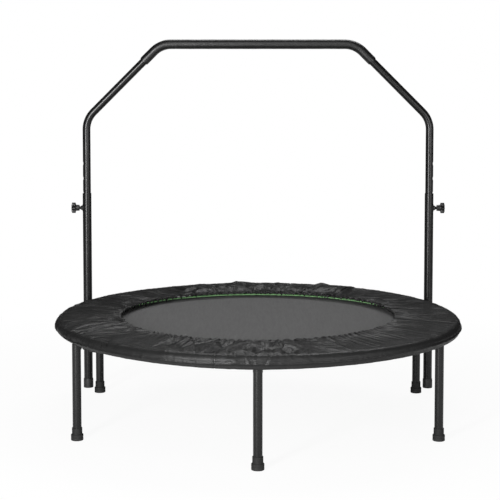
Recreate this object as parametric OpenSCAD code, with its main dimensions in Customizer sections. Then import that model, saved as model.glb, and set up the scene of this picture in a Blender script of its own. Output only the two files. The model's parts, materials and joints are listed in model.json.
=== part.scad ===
// Mini trampoline with a height-adjustable handle, in millimetres.
// The origin is on the floor under the middle of the ring, +Z is up, and the handle stands at +Y.

/* [Frame ring] */
// Radius of the ring, to the middle of its tube
ring_radius = 592; // [560:1:640]
// Height of the middle of the ring's tube above the floor
ring_height = 290; // [270:1:320]
// Outer diameter of the ring's tube
ring_tube_od = 28; // [26:0.5:32]
// Wall of the ring's tube
ring_tube_wall = 1.5; // [1.2:0.1:2]
// Length of the swaged end of an arc, inside the next arc
arc_spigot_length = 40; // [30:1:42]
// Length over which the tube narrows to its swaged end
swage_length = 12; // [8:1:20]
// Gap between two arcs where they meet
arc_gap = 0.4; // [0.2:0.1:1]
// Springs on each arc
springs_per_arc = 6; // [4:1:6]

/* [Legs and feet] */
// Outer diameter of a leg
leg_tube_od = 25; // [22:0.5:26]
// Wall of a leg
leg_tube_wall = 1.5; // [1.2:0.1:2]
// Length of the welded spigot inside a leg
leg_spigot_length = 50; // [40:1:55]
// Distance from the top of a leg to the screw that holds it
leg_screw_drop = 12; // [10:1:25]
// Gap between the top of a leg and the ring
leg_top_gap = 0.5; // [0.2:0.1:2]
// Outer diameter of a foot at the floor
foot_flare_od = 35; // [33:0.5:42]
// Height of the wide part of a foot
foot_flare_height = 17; // [12:1:22]
// Height of the whole foot
foot_height = 36; // [28:1:50]
// Wall of the foot's sleeve around the leg
foot_wall = 2; // [1.5:0.1:3]
// Thickness of the foot under the leg
foot_base = 6; // [4:0.5:10]
// Rounding at the edges of a foot
foot_edge = 1.5; // [0.5:0.1:1.9]

/* [Posts] */
// Distance from the middle of a rear leg to the middle of its post
post_offset = 46; // [40:1:60]
// Height of the top of a post
post_top = 646; // [630:1:680]
// Wall of a post
post_wall = 1.2; // [1:0.1:1.6]
// Height of a post's cap above the floor
post_cap_lift = 11; // [8:1:40]
// Height of a post's cap
post_cap_height = 30; // [16:1:40]
// Wall of a post's cap
post_cap_wall = 1.5; // [1:0.1:2.5]
// Thickness of the cap under the post
post_cap_base = 4; // [2:0.5:8]
// Height of the lower bolt that holds a post to its leg
lower_bolt_height = 141; // [110:1:150]
// Distance between the two bolts of a post
bolt_pitch = 64; // [40:1:66]
// Thread diameter of a post bolt
bolt_d = 8; // [6:1:8]
// Width of a post bolt's head and nut, across the corners
hex_across = 15; // [13:0.5:16]
// Height of a post bolt's head
bolt_head_height = 5.5; // [4:0.5:7]
// Height of a post bolt's nut
nut_height = 6.5; // [5:0.5:8]
// Length of a post bolt beyond its nut
bolt_overhang = 3; // [1:0.5:8]
// Width of the spacer between a leg and its post
spacer_width = 20; // [16:1:22]
// Height of the spacer between a leg and its post
spacer_height = 22; // [18:1:30]
// How far a spacer reaches around each tube
spacer_wrap = 4; // [2:0.5:6]
// Diameter of a saddle washer
washer_d = 18; // [16:0.5:20]
// Thickness of a saddle washer at its middle
washer_thickness = 2; // [1:0.5:4]

/* [Height adjustment] */
// Height of the knobs
knob_height = 599; // [585:1:612]
// Distance between two height holes
hole_pitch = 48; // [40:1:50]
// Height holes above the knob
holes_above = 3; // [1:1:3]
// Height holes below the knob
holes_below = 1; // [1:1:2]
// Diameter of a height hole
height_hole_d = 14; // [11:0.5:14]
// Thread diameter of a knob's stud
stud_d = 10; // [8:0.5:10]
// Diameter of the welded boss at the post
boss_base_d = 22; // [18:0.5:24]
// Diameter of the welded boss at its tip
boss_tip_d = 14; // [13:0.5:17]
// Height of the welded boss beyond the post
boss_height = 5.5; // [4:0.5:8]
// Least length of a post above its welded boss
post_rim = 6; // [3:0.5:6]
// Room between the boss and the knob while the knob is slack
knob_room = 5; // [4.8:0.1:7]
// Gap between the slack stud and the handle tube
stud_tip_gap = 0.4; // [0.2:0.1:1]
// Diameter of the knob's star head, over its lobes
knob_head_d = 36; // [30:0.5:40]
// Thickness of the knob's star head
knob_head_thickness = 13; // [9:0.5:14]
// Lobes of the knob's star head
knob_lobes = 8; // [5:1:9]
// Diameter of one lobe
knob_lobe_d = 9; // [7:0.5:10]
// Diameter of the knob's hub
knob_hub_d = 20; // [17:0.5:22]
// Length of the knob's hub
knob_hub_length = 12; // [8:0.5:13]
// Wall of the knob beyond the end of its stud
knob_end_wall = 4; // [2:0.5:6]

/* [Handle] */
// Outer diameter of the handle tubes and the top bar
handle_tube_od = 25; // [22:0.5:26]
// Wall of the handle tubes and the top bar
handle_tube_wall = 1.5; // [1.2:0.1:2]
// Depth of a handle tube in its post
handle_insert = 246; // [220:1:260]
// Height of the middle of the top bar
bar_height = 1126; // [1090:1:1160]
// Half of the top bar's width, to the corner with the slanted stretch
bar_half_width = 312; // [280:1:340]
// Radius of the bends, to the middle of the tube
bend_radius = 80; // [60:1:90]
// Distance of the handle joint from the top bar's corner
joint_distance = 105; // [98:1:130]
// Length of the top bar's swaged end in a handle tube
joint_spigot_length = 45; // [35:1:60]
// Outer diameter of the foam grip
foam_od = 31; // [29:0.5:36]
// Distance of the foam grip's ends from the top bar's corners
foam_reach = 78; // [60:1:90]
// Length of the plug in the lower end of a handle tube
plug_length = 15; // [10:1:25]
// Thickness of the plug's flange
plug_flange = 3; // [2:0.5:5]

/* [Jump mat and springs] */
// Radius of the jump mat
mat_radius = 490; // [470:1:500]
// Thickness of the jump mat
mat_thickness = 2; // [1:0.1:3]
// Width of the webbing along the mat's edge
webbing_width = 32; // [20:1:45]
// Thickness of the webbing
webbing_thickness = 1.4; // [0.8:0.1:2]
// Width of a sewn loop
loop_width = 14; // [10:1:14]
// Gap between the mat's edge and a sewn loop's eye
loop_gap = 2; // [1:0.5:4]
// Length of a sewn loop's tail under the mat
loop_tail = 24; // [16:1:35]
// Thickness of a sewn loop
loop_thickness = 1.7; // [1.4:0.1:2]
// Wire of a mat ring
mat_ring_wire = 3; // [2.5:0.1:3.4]
// Length of a mat ring, from bar to bar
mat_ring_length = 18; // [15:0.5:20]
// Width of a mat ring, from side to side
mat_ring_width = 22; // [20:0.5:26]
// Radius of a mat ring's corners, to the middle of its wire
mat_ring_bend = 3; // [2:0.1:3]
// Outer diameter of a spring
spring_od = 14; // [12:0.5:15]
// Wire of a spring
spring_wire = 2; // [1.6:0.1:2.2]
// Radius of the loop at a spring's inner end, to the middle of its wire
spring_loop_radius = 5; // [4.5:0.1:6]
// Gap between a spring's outer end and the ring
spring_end_gap = 10; // [6:0.5:16]
// Diameter of the hole in the ring for a spring's hook
spring_hole_d = 7; // [6:0.5:7.5]
// Reach of a spring's hook inside the ring
hook_reach = 6; // [5:0.5:8]
// Radius of the hook's bend, to the middle of its wire
hook_bend = 3; // [2.5:0.1:4]
// Straight end of the hook beyond its bend
hook_tip = 4; // [2:0.5:5]

/* [Skirt] */
// Radius of the skirt's inner hem
skirt_inner_radius = 411; // [390:1:430]
// Thickness of the skirt
skirt_thickness = 2; // [1.5:0.1:3]
// Gap between the skirt and the ring's tube
skirt_gap = 2; // [1.5:0.1:5]
// Depth of the skirt's outer band below the middle of the ring
skirt_drop = 22; // [20:1:32]
// Radius of the rolled inner hem
inner_hem_radius = 3; // [2.6:0.1:4]
// Radius of the rolled outer hem
outer_hem_radius = 2.6; // [2.4:0.1:2.8]
// Radius of the elastic cord in each hem
elastic_radius = 1.5; // [1:0.1:1.6]

/* [Screws] */
// Diameter of the screws that join the arcs and the handle
small_screw_d = 5; // [4:0.5:5]
// Diameter of those screws' heads
small_screw_head_d = 9; // [8:0.5:10]
// Diameter of the screws that hold the legs
leg_screw_d = 6; // [5:0.5:6]
// Diameter of the leg screws' heads
leg_screw_head_d = 11; // [9:0.5:12]
// Length of a screw under its head
screw_length = 10; // [8:0.5:12]
// Height of a screw's head
screw_head_height = 3; // [2:0.5:4]

/* [Fits] */
// Gap between a swaged end or spigot and the tube around it
plug_clearance = 0.2; // [0.1:0.05:0.4]
// Gap between a handle tube and its post
slide_clearance = 0.3; // [0.2:0.05:0.5]
// Gap between a foot, cap or saddle and the tube in it
cap_clearance = 0.1; // [0.05:0.05:0.3]
// Gap between a screw or bolt and its hole
screw_clearance = 0.25; // [0.15:0.05:0.5]
// Gap between a knob's stud and its thread
thread_clearance = 0.15; // [0.1:0.05:0.25]
// Gap between a knob's stud and the knob's bore
knob_clearance = 0.08; // [0.05:0.01:0.1]
// Gap between the foam grip and the top bar
foam_clearance = 0.1; // [0.05:0.05:0.5]
// Gap between an elastic cord or a mat ring and the cloth around it
cloth_clearance = 0.3; // [0.2:0.05:0.4]
// Gap between the mat and what is sewn under it
sewn_gap = 0.02; // [0.01:0.01:0.1]
// Gap between a spring's loop and a mat ring
loop_clearance = 0.3; // [0.1:0.05:0.5]

/* [Hidden] */
PLACES = ["front", "front_right", "rear_right", "rear", "rear_left", "front_left"];
$fn = 64;

// Room by which a cut runs past the face that it opens
cut = 1;

// Colours
coat = "#1b1b1d";
rubber = "#232324";
plastic = "#1e1e20";
zinc = "#9a9c9e";
foam = "#3a3a3c";
mat_grey = "#5f5f60";
edge_green = "#5fae63";
strap = "#2b2b2c";
skirt_black = "#2c2c2e";
cord_white = "#d8d8d4";

// The ring and its arcs
arc_span = 360 / len(PLACES);
LEG_ANGLES = [for (i = [0 : len(PLACES) - 1]) -90 + i * arc_span];
ring_tube_id = ring_tube_od - 2 * ring_tube_wall;
arc_spigot_od = ring_tube_id - 2 * plug_clearance;
arc_spigot_id = arc_spigot_od - 2 * ring_tube_wall;
ring_bottom = ring_height - ring_tube_od / 2;
spring_pitch = arc_span / springs_per_arc;
SPRING_STEPS = [for (i = [0 : springs_per_arc - 1]) (i + 0.5) * spring_pitch - arc_span / 2];
SPRING_ANGLES = [for (leg = LEG_ANGLES) for (step = SPRING_STEPS) leg + step];

// The legs
leg_tube_id = leg_tube_od - 2 * leg_tube_wall;
leg_spigot_od = leg_tube_id - 2 * plug_clearance;
leg_spigot_id = leg_spigot_od - 2 * leg_tube_wall;
leg_top = ring_bottom - leg_top_gap;
leg_screw_height = leg_top - leg_screw_drop;
foot_sleeve_od = leg_tube_od + 2 * cap_clearance + 2 * foot_wall;

// The posts, on the rays of the two rear side legs
function carries_post(place) = place == "rear_right" || place == "rear_left";
post_angle = 30;
post_radius = ring_radius + post_offset;
post_x = post_radius * cos(post_angle);
post_y = post_radius * sin(post_angle);
post_id = handle_tube_od + 2 * slide_clearance;
post_od = post_id + 2 * post_wall;
post_bottom = post_cap_lift + post_cap_base;
post_end = max(post_top, knob_height + boss_base_d / 2 + post_rim);
post_length = post_end - post_bottom;
BOLT_HEIGHTS = [lower_bolt_height, lower_bolt_height + bolt_pitch];
bolt_hole_d = bolt_d + 2 * screw_clearance;
washer_seat = washer_thickness + cap_clearance;
bolt_head_at = post_radius + post_od / 2 + washer_seat;
nut_face_at = ring_radius - leg_tube_od / 2 - washer_seat;

// The knobs, along X from the post
boss_end = post_od / 2 + boss_height;
knob_start = boss_end + knob_room;
knob_end = knob_start + knob_hub_length + knob_head_thickness;
stud_start = handle_tube_od / 2 + stud_tip_gap;
stud_end = knob_end - knob_end_wall;
knob_core_d = knob_head_d - knob_lobe_d;

// The handle, in the plane of the posts
handle_tube_id = handle_tube_od - 2 * handle_tube_wall;
handle_bottom = post_end - handle_insert;
slant_angle = 45;
slant_run = post_x - bar_half_width;
slant_length = slant_run / cos(slant_angle);
shoulder_height = bar_height - slant_run * tan(slant_angle);
bend_tangent = bend_radius * tan(slant_angle / 2);
joint_spigot_od = handle_tube_id - 2 * plug_clearance;
joint_spigot_id = joint_spigot_od - 2 * handle_tube_wall;
joint_screw_at = joint_distance + joint_spigot_length / 2;
HOLE_HEIGHTS = [for (k = [-holes_below : holes_above]) knob_height + k * hole_pitch];

// The mat and its springs
mat_top = ring_height + mat_thickness / 2;
mat_bottom = ring_height - mat_thickness / 2;
loop_bore_d = mat_ring_wire + 2 * cloth_clearance;
loop_od = loop_bore_d + 2 * loop_thickness;
loop_at = mat_radius + loop_gap + loop_od / 2;
ring_tip_at = loop_at + mat_ring_length;
spring_loop_at = ring_tip_at - mat_ring_wire / 2 - loop_clearance - spring_wire / 2 + spring_loop_radius;
spring_start = spring_loop_at + spring_loop_radius;
ring_inside = ring_radius - ring_tube_od / 2;
spring_end = ring_inside - spring_end_gap;
hook_end = ring_inside + hook_reach;

// The skirt
skirt_under = ring_tube_od / 2 + skirt_gap;
skirt_over = skirt_under + skirt_thickness;
skirt_arc_steps = 12;
SKIRT_ARC = [for (i = [0 : skirt_arc_steps]) 90 - 90 * i / skirt_arc_steps];
inner_hem_at = skirt_inner_radius + inner_hem_radius;
inner_hem_height = ring_height + skirt_under + skirt_thickness / 2;
outer_hem_at = ring_radius + skirt_over - outer_hem_radius;
outer_hem_height = ring_height - skirt_drop + outer_hem_radius;
hem_bore_radius = elastic_radius + cloth_clearance;
hem_slit = 2 * cloth_clearance;

// Children stand on the ray at an angle, with X pointing away from the middle
module on_ray(angle, radius = 0, height = 0) {
    rotate([0, 0, angle]) translate([radius, 0, height]) children();
}

// Children made for the right side, or their mirror image
module on_side(left) {
    if (left) mirror([1, 0, 0]) children();
    else children();
}

// Round bar along X, from one distance to another
module bar_x(d, from, to) {
    translate([from, 0, 0]) rotate([0, 90, 0]) cylinder(d = d, h = to - from);
}

// Round bar across the ray, centred on its length
module bar_y(d, length) {
    rotate([90, 0, 0]) cylinder(d = d, h = length, center = true);
}

// Round bar that starts at the origin along Y, with a left-hand bend after each run but the last
module bent_bar(d, radius, runs, turns, i = 0) {
    rotate([-90, 0, 0]) cylinder(d = d, h = runs[i]);
    if (i < len(turns)) translate([-radius, runs[i], 0]) {
        rotate_extrude(angle = turns[i]) translate([radius, 0]) circle(d = d);
        rotate([0, 0, turns[i]]) translate([radius, 0, 0])
            if (i + 1 < len(runs)) bent_bar(d, radius, runs, turns, i + 1);
    }
}

// Stretch of the ring's round section between two angles
module ring_stretch(d, from, to) {
    translate([0, 0, ring_height]) rotate([0, 0, from])
        rotate_extrude(angle = to - from) translate([ring_radius, 0]) circle(d = d);
}

// Angle that a length covers along the ring
function along_ring(length) = length / ring_radius * 180 / PI;

// Pan-head screw along X, with the underside of its head at zero
module pan_screw(d, head_d) {
    bar_x(d, -cut, screw_length);
    bar_x(head_d, -screw_head_height, 0);
}

// One arc of the ring, centred on its leg, with the leg's welded spigot
module frame_arc(angle) {
    from = angle - arc_span / 2 + along_ring(arc_gap);
    to = angle + arc_span / 2;
    swage = along_ring(swage_length);
    spigot = along_ring(arc_spigot_length);
    color(coat) difference() {
        union() {
            ring_stretch(ring_tube_od, from, to);
            ring_stretch(arc_spigot_od, to - swage / 2, to + spigot);
            on_ray(angle, ring_radius, leg_top - leg_spigot_length)
                cylinder(d = leg_spigot_od, h = ring_height - leg_top + leg_spigot_length);
        }
        ring_stretch(ring_tube_id, from - along_ring(cut), to - swage);
        ring_stretch(arc_spigot_id, to - swage - along_ring(cut), to + spigot + along_ring(cut));
        on_ray(angle, ring_radius, leg_top - leg_spigot_length - cut)
            cylinder(d = leg_spigot_id, h = leg_spigot_length);
        on_ray(angle, ring_radius, leg_screw_height)
            bar_x(leg_screw_d + 2 * screw_clearance, -leg_tube_od / 2, 0);
        for (step = SPRING_STEPS)
            on_ray(angle + step, 0, ring_height) bar_x(spring_hole_d, ring_inside - cut, ring_radius);
        for (side = [-1, 1])
            on_ray(angle + side * arc_span / 2 + spigot / 2, ring_radius, ring_bottom - cut)
                cylinder(d = small_screw_d + 2 * screw_clearance, h = ring_tube_od / 2);
    }
}

// Screws that join the arcs, from below
module arc_screws() {
    from_leg = arc_span / 2 + along_ring(arc_spigot_length) / 2;
    color(zinc) for (angle = LEG_ANGLES)
        on_ray(angle + from_leg, ring_radius, ring_bottom - cap_clearance)
            rotate([0, -90, 0]) pan_screw(small_screw_d, small_screw_head_d);
}

// Leg tube, drilled for its screw and, behind the two rear sides, for the post bolts
module leg(angle, carries_post) {
    color(coat) on_ray(angle, ring_radius) difference() {
        translate([0, 0, foot_base]) cylinder(d = leg_tube_od, h = leg_top - foot_base);
        translate([0, 0, foot_base - cut]) cylinder(d = leg_tube_id, h = leg_top - foot_base + 2 * cut);
        translate([0, 0, leg_screw_height])
            bar_x(leg_screw_d + 2 * screw_clearance, -leg_tube_od / 2 - cut, 0);
        if (carries_post)
            for (height = BOLT_HEIGHTS)
                translate([0, 0, height]) bar_x(bolt_hole_d, -leg_tube_od, leg_tube_od);
    }
}

// Screws that hold the legs on their spigots, from the middle of the ring
module leg_screws() {
    color(zinc) for (angle = LEG_ANGLES)
        on_ray(angle, ring_radius - leg_tube_od / 2 - cap_clearance, leg_screw_height)
            pan_screw(leg_screw_d, leg_screw_head_d);
}

// Stepped rubber foot with a socket for the leg
module foot(angle) {
    flare = foot_flare_od / 2;
    sleeve = foot_sleeve_od / 2;
    bore = leg_tube_od / 2 + cap_clearance;
    color(rubber) on_ray(angle, ring_radius) rotate_extrude() polygon([
        [0, 0],
        [flare - foot_edge, 0],
        [flare, foot_edge],
        [flare, foot_flare_height - foot_edge],
        [flare - foot_edge, foot_flare_height],
        [sleeve, foot_flare_height + foot_edge],
        [sleeve, foot_height - foot_edge],
        [sleeve - foot_edge, foot_height],
        [bore, foot_height],
        [bore, foot_base],
        [0, foot_base]
    ]);
}

// Lower post with the welded boss for its knob
module post() {
    color(coat) difference() {
        translate([post_x, post_y, 0]) union() {
            translate([0, 0, post_bottom]) cylinder(d = post_od, h = post_length);
            translate([0, 0, knob_height]) rotate([0, 90, 0])
                cylinder(d1 = boss_base_d, d2 = boss_tip_d, h = boss_end);
        }
        translate([post_x, post_y, post_bottom - cut])
            cylinder(d = post_id, h = post_length + 2 * cut);
        translate([post_x, post_y, knob_height])
            bar_x(stud_d + 2 * thread_clearance, 0, boss_end + cut);
        for (height = BOLT_HEIGHTS)
            on_ray(post_angle, post_radius, height) bar_x(bolt_hole_d, -post_od, post_od);
    }
}

// Plastic cap on the lower end of a post
module post_cap() {
    outer = post_od / 2 + cap_clearance + post_cap_wall;
    bore = post_od / 2 + cap_clearance;
    edge = post_cap_wall / 2;
    color(plastic) translate([post_x, post_y, post_cap_lift]) rotate_extrude() polygon([
        [0, 0],
        [outer - edge, 0],
        [outer, edge],
        [outer, post_cap_height - edge],
        [outer - edge, post_cap_height],
        [bore, post_cap_height],
        [bore, post_cap_base],
        [0, post_cap_base]
    ]);
}

// Children at the two bolt heights on the rays of both posts
module at_bolts() {
    for (angle = [post_angle, 180 - post_angle])
        for (height = BOLT_HEIGHTS)
            on_ray(angle, 0, height) children();
}

// Cuts for a leg and a post, through whatever sits against them
module tube_cuts(height) {
    translate([ring_radius, 0, 0])
        cylinder(d = leg_tube_od + 2 * cap_clearance, h = height, center = true);
    translate([post_radius, 0, 0])
        cylinder(d = post_od + 2 * cap_clearance, h = height, center = true);
}

// Plastic spacers that keep the posts off the legs
module post_spacers() {
    from = ring_radius + leg_tube_od / 2 - spacer_wrap;
    to = post_radius - post_od / 2 + spacer_wrap;
    color(plastic) at_bolts() difference() {
        translate([from, -spacer_width / 2, -spacer_height / 2])
            cube([to - from, spacer_width, spacer_height]);
        tube_cuts(spacer_height + 2 * cut);
        bar_x(bolt_hole_d, from - cut, to + cut);
    }
}

// Saddle washers under the bolt heads and the nuts
module post_washers() {
    color(plastic) at_bolts() difference() {
        union() {
            bar_x(washer_d, nut_face_at, nut_face_at + washer_seat + leg_tube_od / 4);
            bar_x(washer_d, bolt_head_at - washer_seat - post_od / 4, bolt_head_at);
        }
        tube_cuts(washer_d + 2 * cut);
        bar_x(bolt_hole_d, nut_face_at - cut, bolt_head_at + cut);
    }
}

// Hexagon bolts through post, spacer and leg
module post_bolts() {
    color(zinc) at_bolts() {
        bar_x(bolt_d, nut_face_at - nut_height - bolt_overhang, bolt_head_at + cut);
        translate([bolt_head_at, 0, 0]) rotate([0, 90, 0])
            cylinder(d = hex_across, h = bolt_head_height, $fn = 6);
    }
}

// Hexagon nuts on the inner side of the legs
module post_nuts() {
    color(zinc) at_bolts() difference() {
        translate([nut_face_at - nut_height, 0, 0]) rotate([0, 90, 0])
            cylinder(d = hex_across, h = nut_height, $fn = 6);
        bar_x(bolt_d + 2 * screw_clearance, nut_face_at - nut_height - cut, nut_face_at + cut);
    }
}

// Star knob, moulded around a blind bore for its stud
module knob() {
    head_at = knob_end - knob_head_thickness;
    color(plastic) translate([post_x, post_y, knob_height]) difference() {
        union() {
            bar_x(knob_hub_d, knob_start, head_at + cut);
            translate([head_at, 0, 0]) rotate([0, 90, 0])
                linear_extrude(knob_head_thickness) knob_star();
        }
        bar_x(stud_d + 2 * knob_clearance, knob_start - cut, stud_end + knob_clearance);
    }
}

// Outline of the knob's head: a round core with lobes on its edge
module knob_star() {
    circle(d = knob_core_d);
    for (i = [0 : knob_lobes - 1])
        rotate((i + 0.5) * 360 / knob_lobes) translate([knob_core_d / 2, 0]) circle(d = knob_lobe_d);
}

// Threaded stud that carries a knob and locks the handle tube
module knob_stud() {
    color(zinc) translate([post_x, post_y, knob_height]) bar_x(stud_d, stud_start, stud_end);
}

// Children drawn in X and Y, stood up in the plane of the posts
module in_post_plane(x, z) {
    translate([x, post_y, z]) rotate([90, 0, 0]) children();
}

// Children with Y pointing down a slant from the top bar's corner; side is 1 on the right, -1 on the left
module down_slant(side, distance) {
    in_post_plane(side * bar_half_width, bar_height)
        rotate([0, 0, -side * (90 + slant_angle)]) translate([0, distance, 0]) children();
}

// Round section of a handle tube, from a height up to a distance from the top bar's corner
module tube_line(d, from, end_distance) {
    upright = shoulder_height - bend_tangent - from;
    slant = slant_length - bend_tangent - end_distance;
    in_post_plane(post_x, from) bent_bar(d, bend_radius, [upright, slant], [slant_angle]);
}

// Round section of the top bar with both bends, down to a distance from each corner
module bar_line(d, end_distance) {
    slant = end_distance - bend_tangent;
    level = 2 * (bar_half_width - bend_tangent);
    down_slant(1, end_distance) rotate([0, 0, 180])
        bent_bar(d, bend_radius, [slant, level, slant], [slant_angle, slant_angle]);
}

// Round bar along a slant, between two distances from the top bar's corner
module slant_bar(d, from, to, side) {
    down_slant(side, from) rotate([-90, 0, 0]) cylinder(d = d, h = to - from);
}

// Hole for the screw of the handle joint, through the rear walls
module joint_screw_hole(side = 1) {
    down_slant(side, joint_screw_at) mirror([0, 0, 1])
        cylinder(d = small_screw_d + 2 * screw_clearance, h = handle_tube_od);
}

// Handle tube that slides in a post, with its row of height holes on the outer side
module handle_tube() {
    color(coat) difference() {
        tube_line(handle_tube_od, handle_bottom, joint_distance);
        tube_line(handle_tube_id, handle_bottom - cut, joint_distance - cut);
        for (height = HOLE_HEIGHTS)
            translate([post_x, post_y, height]) bar_x(height_hole_d, 0, handle_tube_od);
        joint_screw_hole();
    }
}

// Plastic plug in the lower end of a handle tube
module tube_plug() {
    color(plastic) translate([post_x, post_y, handle_bottom - plug_flange]) {
        cylinder(d = handle_tube_od, h = plug_flange);
        cylinder(d = handle_tube_id - 2 * plug_clearance, h = plug_flange + plug_length);
    }
}

// Top bar with its two bends and the swaged ends that fit the handle tubes
module top_bar() {
    swage_at = joint_distance - swage_length;
    spigot_end = joint_distance + joint_spigot_length;
    color(coat) difference() {
        union() {
            bar_line(handle_tube_od, joint_distance - arc_gap);
            for (side = [-1, 1]) slant_bar(joint_spigot_od, swage_at, spigot_end, side);
        }
        bar_line(handle_tube_id, swage_at);
        for (side = [-1, 1]) {
            slant_bar(joint_spigot_id, swage_at - cut, spigot_end + cut, side);
            joint_screw_hole(side);
        }
    }
}

// Foam grip over the top bar and its bends
module foam_grip() {
    color(foam) difference() {
        bar_line(foam_od, foam_reach);
        bar_line(handle_tube_od + 2 * foam_clearance, foam_reach + cut);
    }
}

// Screws of the two handle joints, from the rear
module handle_joint_screws() {
    color(zinc) for (side = [-1, 1])
        down_slant(side, joint_screw_at) translate([0, 0, -handle_tube_od / 2 - cap_clearance])
            rotate([0, -90, 0]) pan_screw(small_screw_d, small_screw_head_d);
}

// Woven jump mat
module jump_mat() {
    color(mat_grey) translate([0, 0, mat_bottom]) cylinder(r = mat_radius, h = mat_thickness, $fn = 180);
}

// Webbing sewn along the mat's edge
module mat_edge_webbing() {
    color(edge_green) translate([0, 0, mat_top]) difference() {
        cylinder(r = mat_radius, h = webbing_thickness, $fn = 180);
        translate([0, 0, -cut])
            cylinder(r = mat_radius - webbing_width, h = webbing_thickness + 2 * cut, $fn = 180);
    }
}

// Sewn loops under the mat's edge, one for each mat ring
module mat_loops() {
    tail_end = mat_radius - loop_tail;
    color(strap) for (angle = SPRING_ANGLES) on_ray(angle) difference() {
        union() {
            translate([tail_end, -loop_width / 2, mat_bottom - sewn_gap - loop_thickness])
                cube([loop_at - tail_end, loop_width, loop_thickness]);
            translate([loop_at, 0, ring_height]) bar_y(loop_od, loop_width);
        }
        translate([loop_at, 0, ring_height]) bar_y(loop_bore_d, loop_width + 2 * cut);
    }
}

// Steel rings of bent wire in the sewn loops
module mat_rings() {
    long = mat_ring_length - 2 * mat_ring_bend;
    wide = mat_ring_width - 2 * mat_ring_bend;
    color(zinc) for (angle = SPRING_ANGLES) on_ray(angle, loop_at, ring_height)
        translate([mat_ring_length, -wide / 2, 0])
            bent_bar(mat_ring_wire, mat_ring_bend, [wide, long, wide, long], [90, 90, 90, 90]);
}

// Outer hook of a spring, from its tip inside the ring up and back along X
module spring_hook(to) {
    translate([hook_end, 0, -hook_bend - hook_tip]) rotate([90, 0, 0])
        bent_bar(spring_wire, hook_bend, [hook_tip, hook_end - hook_bend - to], [90]);
}

// Springs between the mat rings and the ring, each coil as a plain sleeve
module springs() {
    color(zinc) for (angle = SPRING_ANGLES) on_ray(angle, 0, ring_height) {
        translate([spring_loop_at, 0, 0]) rotate([90, 0, 0])
            rotate_extrude() translate([spring_loop_radius, 0]) circle(d = spring_wire);
        difference() {
            bar_x(spring_od, spring_start, spring_end);
            bar_x(spring_od - 2 * spring_wire, spring_start + spring_wire, spring_end + cut);
        }
        spring_hook(spring_start + spring_wire / 2);
    }
}

// Rolled hem around an elastic cord, slit underneath
module rolled_hem(radius, height, hem_radius) {
    difference() {
        union() {
            children();
            translate([radius, height]) circle(r = hem_radius);
        }
        translate([radius, height]) circle(r = hem_bore_radius);
        translate([radius - hem_slit / 2, height - hem_radius - cut]) square([hem_slit, hem_radius + cut]);
    }
}

// Point of the skirt's section around the ring's tube
function over_ring(distance, angle) =
    [ring_radius + distance * cos(angle), ring_height + distance * sin(angle)];

// Top panel of the skirt, over the springs and the ring
module skirt_top() {
    arc_under = [for (a = SKIRT_ARC) over_ring(skirt_under, a)];
    arc_over = [for (a = SKIRT_ARC) over_ring(skirt_over, a)];
    panel_start = inner_hem_at + (hem_bore_radius + inner_hem_radius) / 2;
    hem_under = [[panel_start, ring_height + skirt_under]];
    hem_over = [[panel_start, ring_height + skirt_over]];
    back = [for (i = [skirt_arc_steps : -1 : 0]) arc_over[i]];
    color(skirt_black) rotate_extrude($fn = 180)
        rolled_hem(inner_hem_at, inner_hem_height, inner_hem_radius)
            polygon(concat(hem_under, arc_under, back, hem_over));
}

// Outer band of the skirt, around the ring
module skirt_band() {
    color(skirt_black) rotate_extrude($fn = 180)
        rolled_hem(outer_hem_at, outer_hem_height, outer_hem_radius)
            translate([ring_radius + skirt_under, outer_hem_height])
                square([skirt_thickness, ring_height - outer_hem_height]);
}

// Elastic cord in a hem
module elastic(radius, height) {
    color(cord_white) translate([0, 0, height]) rotate_extrude($fn = 180)
        translate([radius, 0]) circle(r = elastic_radius);
}

for (i = [0 : len(PLACES) - 1]) {
    frame_arc(LEG_ANGLES[i]);
    leg(LEG_ANGLES[i], carries_post(PLACES[i]));
    foot(LEG_ANGLES[i]);
}
arc_screws();
leg_screws();
on_side(true) post();  // left_post
on_side(false) post();  // right_post
on_side(true) post_cap();  // left_post_cap
on_side(false) post_cap();  // right_post_cap
post_spacers();
post_washers();
post_bolts();
post_nuts();
on_side(true) knob();  // left_knob
on_side(false) knob();  // right_knob
on_side(true) knob_stud();  // left_knob_stud
on_side(false) knob_stud();  // right_knob_stud
on_side(true) handle_tube();  // left_handle_tube
on_side(false) handle_tube();  // right_handle_tube
on_side(true) tube_plug();  // left_tube_plug
on_side(false) tube_plug();  // right_tube_plug
top_bar();
foam_grip();
handle_joint_screws();
jump_mat();
mat_edge_webbing();
mat_loops();
mat_rings();
springs();
skirt_top();
skirt_band();
elastic(inner_hem_at, inner_hem_height);  // skirt_inner_elastic
elastic(outer_hem_at, outer_hem_height);  // skirt_outer_elastic
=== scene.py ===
# %% [markdown]
# # A mini trampoline with a handle
#
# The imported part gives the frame: every solid at its real size, in metres, on the body that it moves with.
# This lesson dresses that frame. Shapes that are already right keep their solids and get a finish, and soft
# or finely made pieces are built again here, in the place of the solid that they stand for.

# %% Load the frame
import json
import math

import bmesh
import bpy
import numpy as np
from mathutils import Matrix, Vector


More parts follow.
